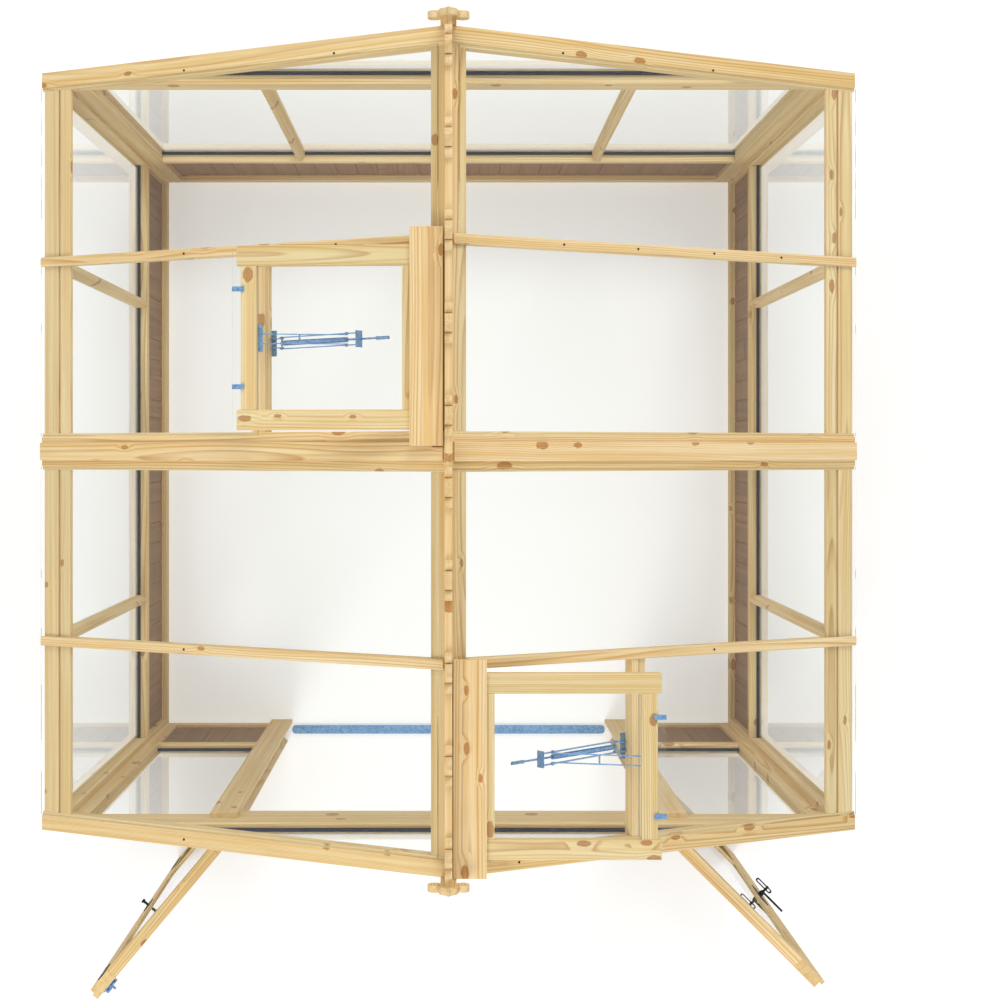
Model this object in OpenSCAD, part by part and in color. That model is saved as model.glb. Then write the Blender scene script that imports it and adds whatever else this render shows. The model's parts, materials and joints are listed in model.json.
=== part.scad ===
// A wooden greenhouse: glazed walls over boarded base panels, a glazed gable roof
// with a fretted ridge board, two roof vents with cylinder openers and a double door.
// X runs across the house, Y along the ridge with the rear at +Y, and Z up from the floor.

/* [Pose] */
// Opening of the left door leaf in degrees
left_door_open = 130; // [0:1:130]
// Opening of the right door leaf in degrees
right_door_open = 135; // [0:1:135]
// Opening of the left roof vent in degrees
left_vent_open = 21.3; // [0:0.1:25]
// Opening of the right roof vent in degrees
right_vent_open = 25; // [0:0.1:25]

/* [Walls] */
// Width over the side walls
outer_w = 2576; // [2300:4:2800]
// Length over the front and rear walls
outer_l = 2484; // [2300:4:2700]
// Thickness of the side and rear walls
wall_t = 48; // [46:1:54]
// Thickness of the front wall
front_t = 38; // [37:1:42]
// Height of the sole rails
sole_h = 55; // [40:1:70]
// Underside of the dado rails above the floor
dado_z = 487; // [400:1:600]
// Height of the dado rails
dado_h = 45; // [35:1:60]
// Top of the wall glass above the floor
glass_top = 1893; // [1800:1:2100]
// Height of the rear tie beam
rear_beam_h = 94; // [80:1:100]
// Height of the front tie beam
front_beam_h = 73; // [60:1:80]
// Height of the side plates at their inner face
plate_h = 42; // [36:1:60]
// Width of the rear corner stiles
corner_w = 62; // [50:1:80]
// Width of the side walls' corner stiles
side_corner_w = 64; // [52:1:80]
// Width of the front corner stiles
front_corner_w = 44; // [36:1:60]
// Joint between two wall panels
panel_joint = 0.4; // [0.3:0.1:0.8]
// Width of each stile where two wall panels meet
middle_stile_w = 45; // [35:1:60]
// Width of the wall mullions at the glass
mullion_w = 42; // [36:1:50]
// Width of the mullions' nose towards the room
nose_w = 14; // [10:1:20]
// Depth of the bevels beside the nose
nose_bevel = 26; // [18:1:27]
// Width of the gable posts
gable_post_w = 45; // [35:1:60]

/* [Boards and glazing] */
// Nominal width of a base board
board_w = 90; // [70:1:120]
// Thickness of the base boards
board_t = 16; // [12:1:18]
// Set-back of the boards from the inner face of a side or rear wall
board_set = 22; // [16:1:26]
// Set-back of the boards in the front wall and the door leaves
front_board_set = 12; // [8:1:18]
// Chamfer along the edges of each board
board_chamfer = 4; // [2:0.5:5]
// Thickness of the glass
glass_t = 4; // [3:0.5:5]
// Depth of the glass and its bead behind the outer face of a wall
glass_back = 10; // [9:0.5:12]
// Depth of the seal strips in front of the glass
seal_w = 10; // [6:1:12]
// Height of the seal strips
seal_h = 12; // [8:1:16]
// Width of the outer glazing beads
bead_w = 12; // [8:1:16]
// Gap between the edge of a pane and the timber
pane_gap = 1; // [0.5:0.5:3]

/* [Roof] */
// Slope of the roof in degrees
pitch = 25; // [23:0.5:28]
// Depth of the rafters, square to the slope
rafter_t = 45; // [40:1:50]
// Width of the barge rafters
barge_w = 61; // [54:1:70]
// Reach of the barge rafters past the walls
barge_reach = 4; // [2:1:8]
// Width of each of the two centre rafters
centre_rafter_w = 60; // [50:1:70]
// Width of the ledge that carries the glass
ledge_w = 11; // [9:1:14]
// Depth of the ledge below the top of the rafters
ledge_d = 6; // [6:0.5:8]
// Depth of the rafter tails and the eave timbers below the top of the rafters
tail_d = 20; // [17:1:24]
// Reach of the rafter tails past the side walls
tail_reach = 52; // [44:1:60]
// Reach of the panes past the rafter tails
drip = 4; // [2:1:8]
// Width of the ridge rails down the slope
ridge_rail_w = 60; // [54:1:64]
// Overlap of the panes on the ridge rails and vent trimmers
pane_lap = 24; // [16:1:30]
// Width of the eave rails down the slope
eave_rail_w = 40; // [34:1:44]
// Lap of the eave rails over the inner edge of the side plates
eave_rail_lap = 10; // [4:1:14]
// Open groove between an eave rail and its eave strip
eave_groove = 8; // [4:1:12]
// Width of the eave strips down the slope
eave_strip_w = 56; // [50:1:58]
// Distance of the glazing bars from the middle of the ridge
bar_y = 623; // [600:1:640]
// Width of the glazing bars below the glass
bar_w = 28; // [24:1:34]
// Width of the tongue between two panes
tongue_w = 10; // [8:1:12]
// Width of the caps on the glazing bars
cap_w = 32; // [28:1:36]
// Height of the caps
cap_h = 9; // [6:1:10]
// Bevel along the edges of the caps
cap_bevel = 4; // [2:1:5]
// Width of the cover strip over the centre rafters
cover_w = 58; // [50:1:70]
// Height of the cover strip
cover_h = 10; // [8:1:14]

/* [Ridge] */
// Thickness of the ridge board
ridge_t = 22; // [18:1:26]
// Height of the plain top edge of the ridge board above the rafters' meeting line
crest_h = 97; // [80:1:110]
// Distance of the first ornament from the middle of the ridge
crest_first = 103; // [90:1:120]
// Distance of the last ornament from the end of the ridge board
crest_last = 83.8; // [80:0.1:100]
// Ornaments on each half of the ridge
crest_count = 5; // [3:1:5]
// Radius of an ornament's middle lobe
crest_lobe_r = 27; // [22:1:30]
// Radius of an ornament's side lobes
crest_side_r = 16; // [12:1:18]
// Height of an ornament's point above the plain edge
crest_point = 60; // [50:1:70]
// Thickness of the finials
finial_t = 20; // [16:1:24]
// Width of a finial's stem
finial_stem_w = 47; // [40:1:56]
// Radius of a finial's middle lobe
finial_lobe_r = 28.5; // [24:0.5:32]
// Radius of a finial's side lobes
finial_side_r = 20; // [16:1:22]
// Height of a finial's point above the rafters' meeting line
finial_h = 131; // [120:1:150]
// Length of a finial's stem below the rafters' meeting line
finial_drop = 95; // [70:1:120]

/* [Roof vents] */
// Distance of the vent trimmers down the slope
trimmer_u = 625; // [600:1:660]
// Width of the vent trimmers down the slope
trimmer_w = 49; // [42:1:56]
// Gap between a sash and the timbers beside it
sash_gap = 3; // [2:0.5:5]
// Lap of the right sash over its barge rafter, which is cut down for it
barge_lap = 9; // [6:0.5:9.5]
// Thickness of the sash timbers
sash_t = 30; // [26:1:34]
// Height of the sashes above the rafters
sash_rise = 21; // [20.5:0.5:23]
// Width of the side rails of a sash
sash_rail_w = 60; // [50:1:70]
// Width of the head rail of a sash
sash_head_w = 75; // [66:1:84]
// Width of the bottom rail of a sash
sash_foot_w = 47; // [42:1:50]
// Gap between the bottom rail of a sash and its trimmer
sash_foot_gap = 7; // [5:1:10]
// Reach of the sash horns over the trimmer
horn = 5; // [3:1:8]
// Reach of the sash glass over the trimmer
sash_drip = 16; // [10:1:20]
// Length of the head boards
head_board_l = 640; // [620:1:660]
// Width of the head boards
head_board_w = 98; // [92:1:104]
// Thickness of the head boards
head_board_t = 18; // [15:1:22]
// Lap of the head boards over the sashes
head_board_lap = 52; // [46:1:56]
// Distance of the vent hinges' axis down the slope
vent_axis_u = 60; // [58:0.5:62]
// Depth of the vent hinges' axis below the rafters' top
vent_axis_d = 1.5; // [1.4:0.1:1.6]
// Radius of the vent hinges' knuckles
vent_knuckle_r = 4.2; // [4:0.1:4.4]
// Radius of the vent hinges' pins
vent_pin_r = 2; // [1.5:0.1:2.5]
// Length of a vent hinge
vent_hinge_l = 54; // [40:1:70]
// Thickness of the hinge leaves
hinge_leaf_t = 1.6; // [1.2:0.1:2]
// Thickness of the glass clips
clip_t = 2; // [1.5:0.5:3]
// Width of the glass clips
clip_w = 14; // [10:1:20]
// Reach of the glass clips over the glass
clip_reach = 34; // [18:1:40]
// Distance of the glass clips from the middle, as a share of half the sash
clip_share = 0.53; // [0.4:0.01:0.6]

/* [Vent openers] */
// Distance of an opener's lower pivot down the slope
base_pivot_u = 586; // [575:1:595]
// Depth of an opener's lower pivot below the rafters' top
base_pivot_d = 40; // [38:1:46]
// Distance of an opener's upper pivot down the sash
sash_pivot_u = 590; // [582:1:596]
// Depth of an opener's upper pivot below the sash
sash_pivot_d = 9; // [9:0.5:12]
// Length of an opener's lower frame between its pivots
opener_lower_l = 275; // [262:1:276]
// Length of an opener's upper arms between their pivots
opener_upper_l = 279; // [266:1:284]
// Reach of the cross plate past the elbow
cross_reach = 46; // [36:1:46]
// Droop of the cylinder and its rod below the lower frame in degrees
rod_droop = 2.3; // [2.2:0.1:3]
// Radius of the wax cylinder
wax_r = 8; // [6:0.5:9]
// Radius of the piston rod
rod_r = 3; // [2:0.5:4]
// Radius of the adjuster on the piston rod
adjuster_r = 5.2; // [4:0.1:5.4]
// Length of the adjuster
adjuster_l = 46; // [30:1:46]
// Free length of the rod between the cross plate and the adjuster
rod_free = 62; // [50:1:62]
// Radius of the opener's pivot pins
opener_pin_r = 3; // [2.5:0.1:3.5]
// Width of an opener's lower frame
base_frame_w = 38; // [38:1:44]
// Width of the mounting plates
opener_plate_w = 80; // [70:1:90]
// Reach of the lower bracket's plate past the trimmer
bracket_reach = 16; // [10:1:20]
// Length of the lower bracket's plate under the trimmer
bracket_back = 30; // [20:1:38]
// Thickness of the opener's strip steel
strip_t = 3; // [2:0.5:3.5]

/* [Doors] */
// Distance of the jamb posts from the middle
jamb_in = 692; // [660:1:700]
// Width of the jamb posts
jamb_w = 93; // [80:1:100]
// Width of the rebate in the jambs
jamb_rebate_w = 44; // [38:1:48]
// Depth of the rebate in the jambs
jamb_rebate_d = 38; // [34:1:38]
// Thickness of the stops that the jambs have behind the leaves
jamb_stop_t = 16; // [12:1:20]
// Top of the door opening above the floor
door_head_z = 1810; // [1760:1:1840]
// Height of the rails over the fixed front panes
front_rail_h = 54; // [45:1:60]
// Thickness of the door leaves
leaf_t = 38; // [36:1:42]
// Gap between a leaf and the jamb or head beside it
leaf_gap = 3; // [2:0.5:4]
// Clearance between the closed leaves and the rebate faces
leaf_seat = 3; // [2:0.5:5]
// Gap above the door leaves
leaf_head_gap = 4; // [3:0.5:6]
// Clearance under the door leaves
leaf_floor_gap = 18; // [17:1:25]
// Gap between the two closed leaves
meeting_gap = 6; // [5:1:8]
// Width of the stiles of the leaves
leaf_stile_w = 95; // [90:1:105]
// Width of the top rails of the leaves
leaf_rail_w = 62; // [54:1:80]
// Height of the bottom rails of the leaves
leaf_foot_h = 80; // [60:1:120]
// Reach of the right leaf's lip over the left leaf
lip_w = 12; // [10:1:14]
// Thickness of the lip
lip_t = 14; // [10:1:16]
// Distance of the hinge axis from the leaf's edge
door_axis_out = 5; // [4.5:0.5:6]
// Distance of the hinge axis in front of the leaf
door_axis_front = 4; // [4:0.5:6]
// Radius of the door hinges' knuckles
door_knuckle_r = 5.5; // [5:0.1:6]
// Radius of the door hinges' pins
door_pin_r = 3; // [2.5:0.1:3.5]
// Length of a door hinge
door_hinge_l = 76; // [60:1:90]
// Hinges on each leaf
door_hinges = 3; // [2:1:4]
// Height of the handle above the floor
handle_z = 900; // [850:1:1100]
// Distance of the handles from the free edge of a leaf
handle_back = 59; // [55:1:64]
// Distance of the sliding bolts from the free edge of the left leaf
bolt_back = 41; // [34:1:44]
// Radius of the sliding bolts
bolt_r = 5; // [4:0.5:5]
// Length of the sliding bolts
bolt_l = 120; // [100:5:140]
// Width of the plates behind the sliding bolts
bolt_plate_w = 30; // [24:1:36]
// Reach of the door levers from their spindle
lever_reach = 106; // [90:1:120]
// Length of the scroll on the outer lever
scroll_l = 78; // [60:1:90]
// Width of the scroll on the outer lever
scroll_w = 16; // [14:1:20]
// Width of the strip that the scroll is bent from
scroll_rim = 4.5; // [3:0.5:5]
// Radius of the knob on the left leaf
knob_r = 8; // [6:0.5:12]
// Length of the handle plates
handle_plate_l = 200; // [160:1:220]
// Width of the handle plates
handle_plate_w = 36; // [30:1:44]
// Thickness of the door fittings' plates
fitting_t = 3; // [2:0.5:4]
// Radius of the handle's spindle
spindle_r = 5; // [4:0.5:6]
// Clearance of a turning or sliding fit
fit = 0.08; // [0.05:0.01:0.1]
// Gap between the threshold strip and each jamb
threshold_gap = 0.3; // [0.1:0.1:0.8]
// Width of the threshold strip
threshold_w = 36; // [28:1:44]
// Height of the threshold strip
threshold_h = 15; // [8:1:16]

/* [Hidden] */
$fn = 48;
wood = "#e6c98f";
wood_dark = "#c9a468";
clear_glass = "#cfe3e6";
seal_black = "#1d2233";
zinc = "#9fb3c6";
iron = "#1c1c1e";
big = 4000;
over = 1;

side_in = outer_w / 2 - wall_t;
rear_in = outer_l / 2 - wall_t;
front_in = outer_l / 2 - front_t;
dado_top = dado_z + dado_h;
rear_beam_top = glass_top + rear_beam_h;
front_beam_z = rear_beam_top - front_beam_h;
corner_in = side_in - corner_w;
front_corner_in = side_in - front_corner_w;
side_corner_in = outer_l / 2 - side_corner_w;
jamb_out = jamb_in + jamb_w;
sp = sin(pitch);
cp = cos(pitch);
tp = tan(pitch);
ridge_top = glass_top + plate_h + tail_d / cp + side_in * tp;
tail_u = (outer_w / 2 + tail_reach) / cp;
eave_rail_u = (side_in + tail_d * sp - eave_rail_lap) / cp;
eave_strip_u = eave_rail_u + eave_rail_w + eave_groove;
pane_end_u = tail_u + drip;
pane_start_u = ridge_rail_w - pane_lap;
ridge_start_u = (ridge_t / 2 + ledge_d * sp) / cp + 0.1;
glass_n = -ledge_d;
barge_out = outer_l / 2 + barge_reach;
barge_in = barge_out - barge_w;
inner_bay = [centre_rafter_w, bar_y - bar_w / 2];
outer_bay = [bar_y + bar_w / 2, barge_in];
inner_sash = [inner_bay[0] + sash_gap, bar_y - cap_w / 2 - sash_gap / 3];
outer_sash = [bar_y + cap_w / 2 + barge_lap, barge_in + barge_lap];
ledge_u = trimmer_u + trimmer_w - pane_lap - pane_gap;
sash_top = sash_rise;
sash_low = sash_rise - sash_t;
sash_u = vent_axis_u + vent_knuckle_r + hinge_leaf_t + 0.2;
sash_end_u = trimmer_u - sash_foot_gap;
head_board_u = sash_u + head_board_lap - head_board_w;
board_room = 28;
vent_n = -vent_axis_d;

// Points of the roof in the XZ plane, from a distance down the slope and a height square to it
function slope_x(u, n) = u * cp + n * sp;
function slope_z(u, n) = ridge_top - u * sp + n * cp;
// Height of a plane parallel to the roof above the point x of the width
function roof_z(x, n) = ridge_top + n / cp - abs(x) * tp;

// Door leaves turn about an axis in front of the jambs
leaf_front = front_in + front_t - jamb_rebate_d + leaf_seat + leaf_t;
door_axis_x = jamb_in + jamb_rebate_w - leaf_gap + door_axis_out;
door_axis_y = leaf_front + door_axis_front;
leaf_a0 = door_axis_out;
leaf_a1 = door_axis_x - meeting_gap / 2;
leaf_b0 = door_axis_front;
leaf_b1 = leaf_b0 + leaf_t;
leaf_top = door_head_z - leaf_head_gap;
leaf_glass_b = leaf_b0 + glass_back - glass_t;
handle_a = leaf_a1 - handle_back;
bolt_a = leaf_a1 - bolt_back;
bolt_b = leaf_b1 + fitting_t + bolt_r + 1;
threshold_l = 2 * (jamb_in - threshold_gap);
keep_w = 26;
keep_clear = 1.5;
threshold_back = 10;
link_gap = 0.5;
shoulder_gap = 0.3;
seat_gap = 0.2;
upper_arm_gap = base_frame_w - 2 * strip_t - 2 * link_gap;

// The house stands so that its own box, with the doors and vents open, is centred on the origin
function leaf_reach(open) = door_axis_y + leaf_a1 * sin(open) - leaf_b1 * cos(open);
front_reach = max(leaf_reach(left_door_open), leaf_reach(right_door_open), barge_out + finial_t);
house_y = (front_reach - barge_out - finial_t) / 2;

module house() {
    translate([0, house_y, 0]) children();
}

// A box between two corners
module bar(u0, u1, v0, v1, z0, z1) {
    translate([u0, v0, z0]) cube([u1 - u0, v1 - v0, z1 - z0]);
}

// An outline in the XZ plane drawn out along Y
module xz_prism(y0, y1) {
    translate([0, y1, 0]) rotate([90, 0, 0]) linear_extrude(y1 - y0) children();
}

// A wall's own frame: along the wall, out through its thickness, and up
module on_wall(wall) {
    if (wall == "rear") translate([0, rear_in, 0]) children();
    if (wall == "front") mirror([0, 1, 0]) translate([0, front_in, 0]) children();
    if (wall == "right") translate([side_in, 0, 0]) mirror([1, -1, 0]) children();
    if (wall == "left") mirror([1, 0, 0]) translate([side_in, 0, 0]) mirror([1, -1, 0]) children();
}

// Both halves of a wall or of the house
module both_x() {
    children();
    mirror([1, 0, 0]) children();
}

module both_y() {
    children();
    mirror([0, 1, 0]) children();
}

// The three walls that are made of two glazed panels each. A panel ends at its corner stile
// and has its mullion midway between that and the middle stile.
module panel_walls() {
    for (wall = ["rear", "left", "right"]) {
        $end_u = wall == "rear" ? corner_in : side_corner_in;
        $mid_u = (middle_stile_w + $end_u) / 2;
        on_wall(wall) both_x() children();
    }
}

// A roof slope's own frame: down the slope, along the ridge, and square to the slope
module on_slope(side) {
    mirror([side < 0 ? 1 : 0, 0, 0]) translate([0, 0, ridge_top]) rotate([0, pitch, 0]) children();
}

// The left vent is in the rear inner bay and the right vent in the front outer bay
function vent_here(side, end, bay) =
    (side < 0 && end > 0 && bay == "inner") || (side > 0 && end < 0 && bay == "outer");

module at_end(end) {
    mirror([0, end < 0 ? 1 : 0, 0]) children();
}

/* Walls */
module sole_rails() {
    color(wood_dark) house() {
        panel_walls() bar(middle_stile_w, $end_u, 0, wall_t, 0, sole_h);
        on_wall("front") both_x() bar(jamb_out, front_corner_in, 0, front_t, 0, sole_h);
    }
}

module dado_rails() {
    color(wood) house() {
        panel_walls() bar(middle_stile_w, $end_u, 0, wall_t, dado_z, dado_top);
        on_wall("front") both_x() bar(jamb_out, front_corner_in, 0, front_t, dado_z, dado_top);
    }
}

module front_corner_outline() {
    polygon([[front_corner_in, 0], [side_in, 0], [side_in, min(front_beam_z, roof_z(side_in, -rafter_t))],
             [(ridge_top - rafter_t / cp - front_beam_z) / tp, front_beam_z],
             [front_corner_in, front_beam_z]]);
}

module corner_stiles() {
    color(wood) house() {
        on_wall("rear") both_x() bar(corner_in, side_in, 0, wall_t, 0, glass_top);
        for (wall = ["left", "right"])
            on_wall(wall) both_x() bar(side_corner_in, outer_l / 2, 0, wall_t, 0, glass_top);
        both_x() xz_prism(-outer_l / 2, -front_in) front_corner_outline();
    }
}

module middle_stiles() {
    color(wood) house() panel_walls()
        bar(panel_joint / 2, middle_stile_w, 0, wall_t, 0, glass_top);
}

module mullion_outline(depth) {
    polygon([[-nose_w / 2, 0], [nose_w / 2, 0], [mullion_w / 2, nose_bevel], [mullion_w / 2, depth],
             [-mullion_w / 2, depth], [-mullion_w / 2, nose_bevel]]);
}

module wall_mullions() {
    color(wood) house() panel_walls()
        translate([$mid_u, 0, dado_top]) linear_extrude(glass_top - dado_top)
            mullion_outline(wall_t - glass_back);
}

module tie_beam_outline(z0, z1) {
    x1 = (ridge_top - rafter_t / cp - z1) / tp;
    x0 = min(side_in, (ridge_top - rafter_t / cp - z0) / tp);
    zs = max(z0, roof_z(side_in, -rafter_t));
    polygon([[-x0, z0], [x0, z0], [x0, zs], [x1, z1], [-x1, z1], [-x0, zs]]);
}

module tie_beams() {
    color(wood) house() {
        xz_prism(rear_in, outer_l / 2) tie_beam_outline(glass_top, rear_beam_top);
        xz_prism(-outer_l / 2, -front_in) tie_beam_outline(front_beam_z, rear_beam_top);
    }
}

module side_plates() {
    color(wood) house() both_x() xz_prism(-outer_l / 2, outer_l / 2)
        polygon([[side_in, glass_top], [outer_w / 2, glass_top],
                 [outer_w / 2, roof_z(outer_w / 2, -tail_d - seat_gap)],
                 [side_in, roof_z(side_in, -tail_d - seat_gap)]]);
}

// The rails over the fixed front panes and the head rail over the door leaves
module front_head_rails() {
    reach = jamb_in + jamb_rebate_w;
    color(wood) house() on_wall("front") {
        both_x() bar(jamb_out, front_corner_in, 0, front_t, front_beam_z - front_rail_h, front_beam_z);
        bar(-reach, reach, front_t - jamb_rebate_d, front_t, door_head_z, front_beam_z);
    }
}

module door_jambs() {
    rebate_x = jamb_in + jamb_rebate_w;
    color(wood) house() on_wall("front") both_x() linear_extrude(front_beam_z)
        polygon([[jamb_in, -jamb_stop_t], [jamb_out, -jamb_stop_t], [jamb_out, front_t],
                 [rebate_x, front_t], [rebate_x, front_t - jamb_rebate_d],
                 [jamb_in, front_t - jamb_rebate_d]]);
}

module board_outline(w) {
    c = board_chamfer;
    t = board_t;
    polygon([[c, 0], [w - c, 0], [w, c], [w, t - c], [w - c, t], [c, t], [0, t - c], [0, c]]);
}

// A row of boards of equal width that fills the length from u0 to u1
module board_row(u0, u1, z0, z1) {
    count = max(1, round((u1 - u0) / board_w));
    w = (u1 - u0 - 2 * seat_gap) / count;
    for (i = [0 : count - 1])
        translate([u0 + seat_gap + i * w, 0, z0]) linear_extrude(z1 - z0) board_outline(w);
}

module base_boards() {
    color(wood_dark) house() {
        panel_walls() translate([0, board_set, 0])
            board_row(middle_stile_w, $end_u, sole_h, dado_z);
        on_wall("front") both_x() translate([0, front_board_set, 0])
            board_row(jamb_out, front_corner_in, sole_h, dado_z);
    }
}

module wall_panes() {
    g = pane_gap;
    v = wall_t - glass_back;
    fv = front_t - glass_back;
    rail_z = front_beam_z - front_rail_h;
    color(clear_glass, 0.35) house() {
        panel_walls() {
            bar(middle_stile_w + g, $mid_u - g, v, v + glass_t, dado_top, glass_top - g);
            bar($mid_u + g, $end_u - g, v, v + glass_t, dado_top, glass_top - g);
        }
        on_wall("front") both_x()
            bar(jamb_out + g, front_corner_in - g, fv, fv + glass_t, dado_top, rail_z - g);
        both_y() both_x() xz_prism(outer_l / 2 - glass_back, outer_l / 2 - glass_back + glass_t)
            gable_pane_outline();
    }
}

module pane_seals() {
    v = wall_t - glass_back;
    fv = front_t - glass_back;
    m = mullion_w / 2;
    post = gable_post_w / 2;
    color(seal_black) house() {
        panel_walls() {
            bar(middle_stile_w, $mid_u - m, v - seal_w, v, dado_top, dado_top + seal_h);
            bar($mid_u + m, $end_u, v - seal_w, v, dado_top, dado_top + seal_h);
        }
        on_wall("front") both_x()
            bar(jamb_out, front_corner_in, fv - seal_w, fv, dado_top, dado_top + seal_h);
        on_wall("rear") both_x()
            bar(post, gable_seal_x, v - seal_w, v, rear_beam_top, rear_beam_top + seal_h);
        on_wall("front") both_x()
            bar(post, gable_seal_x, fv - seal_w, fv, rear_beam_top, rear_beam_top + seal_h);
    }
}

gable_seal_x = (ridge_top - rafter_t / cp - rear_beam_top - seal_h) / tp;
gable_pane_x = (ridge_top - rafter_t / cp - rear_beam_top - pane_gap - 6) / tp;

// Beads around one pane of a wall, from u0 to u1 and z0 to z1
module bead_frame(u0, u1, z0, z1, w0, w1, v, t) {
    bar(u0, u0 + w0, v + glass_t, t, z0, z1);
    bar(u1 - w1, u1, v + glass_t, t, z0, z1);
    bar(u0 + w0, u1 - w1, v + glass_t, t, z0, z0 + bead_w);
    bar(u0 + w0, u1 - w1, v + glass_t, t, z1 - bead_w, z1);
}

module gable_beads(v, t) {
    a = gable_post_w / 2;
    low = rear_beam_top + bead_w;
    end_x = (ridge_top - (rafter_t + bead_w) / cp - low) / tp;
    bar(a, end_x, v + glass_t, t, rear_beam_top, low);
    translate([0, t, 0]) rotate([90, 0, 0]) linear_extrude(t - v - glass_t)
        polygon([[a, roof_z(a, -rafter_t)], [end_x, roof_z(end_x, -rafter_t)], [end_x, low],
                 [a, roof_z(a, -rafter_t - bead_w)]]);
}

module glazing_beads() {
    v = wall_t - glass_back;
    fv = front_t - glass_back;
    m = mullion_w / 2;
    color(wood) house() {
        panel_walls() {
            bead_frame(middle_stile_w, $mid_u, dado_top, glass_top, bead_w, m, v, wall_t);
            bead_frame($mid_u, $end_u, dado_top, glass_top, m, bead_w, v, wall_t);
        }
        on_wall("front") both_x() bead_frame(jamb_out, front_corner_in, dado_top,
            front_beam_z - front_rail_h, bead_w, bead_w, fv, front_t);
        on_wall("rear") both_x() gable_beads(v, wall_t);
        on_wall("front") both_x() gable_beads(fv, front_t);
    }
}

module gable_post_outline() {
    a = gable_post_w / 2;
    r = ridge_t / 2;
    polygon([[-a, rear_beam_top], [a, rear_beam_top], [a, roof_z(a, -rafter_t)],
             [r, roof_z(r, -rafter_t)], [-r, roof_z(r, -rafter_t)], [-a, roof_z(a, -rafter_t)]]);
}

module gable_posts() {
    color(wood) house() {
        xz_prism(rear_in, outer_l / 2) gable_post_outline();
        xz_prism(-outer_l / 2, -front_in) gable_post_outline();
    }
}

module gable_pane_outline() {
    a = gable_post_w / 2 + pane_gap;
    n = -rafter_t - pane_gap * cp;
    polygon([[a, rear_beam_top], [gable_pane_x, rear_beam_top],
             [gable_pane_x, roof_z(gable_pane_x, n)], [a, roof_z(a, n)]]);
}

/* Roof */
// A rafter's side view: square cut at the tail, notched over the side plate
module rafter_outline() {
    r = ridge_t / 2;
    polygon([[r, roof_z(r, 0)], [slope_x(tail_u, 0), slope_z(tail_u, 0)],
             [slope_x(tail_u, -tail_d), slope_z(tail_u, -tail_d)],
             [side_in, roof_z(side_in, -tail_d)], [side_in, roof_z(side_in, -rafter_t)],
             [r, roof_z(r, -rafter_t)]]);
}

// The rebate for the glass along the edge of a rafter from y0 to y1
module glass_rebate(y0, y1, u0) {
    translate([0, 0, ridge_top]) rotate([0, pitch, 0]) bar(u0, big, y0, y1, -ledge_d, big / 10);
}

// The deeper cut in the barge rafter beside the right vent
module sash_rebate() {
    translate([0, 0, ridge_top]) rotate([0, pitch, 0])
        bar(sash_u - sash_gap, trimmer_u, barge_in - over, barge_in + ledge_w,
            sash_low - shoulder_gap, big / 10);
}

module barge_rafters() {
    color(wood) house() for (side = [-1, 1], end = [-1, 1])
        mirror([side < 0 ? 1 : 0, 0, 0]) at_end(end) difference() {
            xz_prism(barge_in, barge_out) rafter_outline();
            glass_rebate(barge_in - over, barge_in + ledge_w,
                vent_here(side, end, "outer") ? ledge_u : -ridge_rail_w);
            if (vent_here(side, end, "outer")) sash_rebate();
        }
}

module centre_rafters() {
    color(wood) house() for (side = [-1, 1], end = [-1, 1])
        mirror([side < 0 ? 1 : 0, 0, 0]) at_end(end) difference() {
            xz_prism(panel_joint / 2, centre_rafter_w) rafter_outline();
            glass_rebate(centre_rafter_w - ledge_w, centre_rafter_w + over,
                vent_here(side, end, "inner") ? ledge_u : -ridge_rail_w);
        }
}

module ridge_rails() {
    r = ridge_t / 2;
    color(wood) house() both_x() both_y() xz_prism(centre_rafter_w, barge_in)
        polygon([[r, roof_z(r, glass_n)], [slope_x(ridge_rail_w, glass_n), slope_z(ridge_rail_w, glass_n)],
                 [slope_x(ridge_rail_w, -rafter_t), slope_z(ridge_rail_w, -rafter_t)],
                 [r, roof_z(r, -rafter_t)]]);
}

// The rail over each side plate and the strip beyond it that carries the ends of the glass
module eave_rails() {
    color(wood) house() for (side = [-1, 1]) on_slope(side) both_y() {
        bar(eave_rail_u, eave_rail_u + eave_rail_w, centre_rafter_w, barge_in, -tail_d, glass_n);
        bar(eave_strip_u, eave_strip_u + eave_strip_w, centre_rafter_w, barge_in, -tail_d, glass_n);
    }
}

module glazing_bars() {
    color(wood) house() for (side = [-1, 1]) on_slope(side) both_y() union() {
        bar(ridge_rail_w, eave_rail_u, bar_y - bar_w / 2, bar_y + bar_w / 2, -rafter_t, glass_n);
        bar(pane_start_u, tail_u, bar_y - tongue_w / 2, bar_y + tongue_w / 2,
            glass_n, glass_n + glass_t);
    }
}

module cap_outline() {
    w = cap_w / 2;
    polygon([[0, -w], [cap_h - cap_bevel, -w], [cap_h, cap_bevel - w], [cap_h, w - cap_bevel],
             [cap_h - cap_bevel, w], [0, w]]);
}

// The caps on the glazing bars and the strips on the centre rafters. Caps beside a vent start
// below its head board, and the left strip is notched where the vent's head board swings.
module cover_strips() {
    w = cover_w / 2;
    board = head_board_y("left");
    color(wood) house() {
        for (side = [-1, 1], end = [-1, 1]) {
            vent = vent_here(side, end, "inner") || vent_here(side, end, "outer");
            u0 = vent ? sash_u : ridge_start_u;
            on_slope(side) at_end(end) translate([u0, bar_y, glass_n + glass_t])
                rotate([0, -90, 0]) mirror([0, 0, 1]) linear_extrude(tail_u - u0) cap_outline();
        }
        for (side = [-1, 1]) on_slope(side) difference() {
            bar(ridge_start_u, tail_u, -w, w, seat_gap, cover_h);
            if (side < 0)
                bar(0, head_board_u + board_room, board[0] - sash_gap, w + over, -over, cover_h + over);
        }
    }
}

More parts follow.
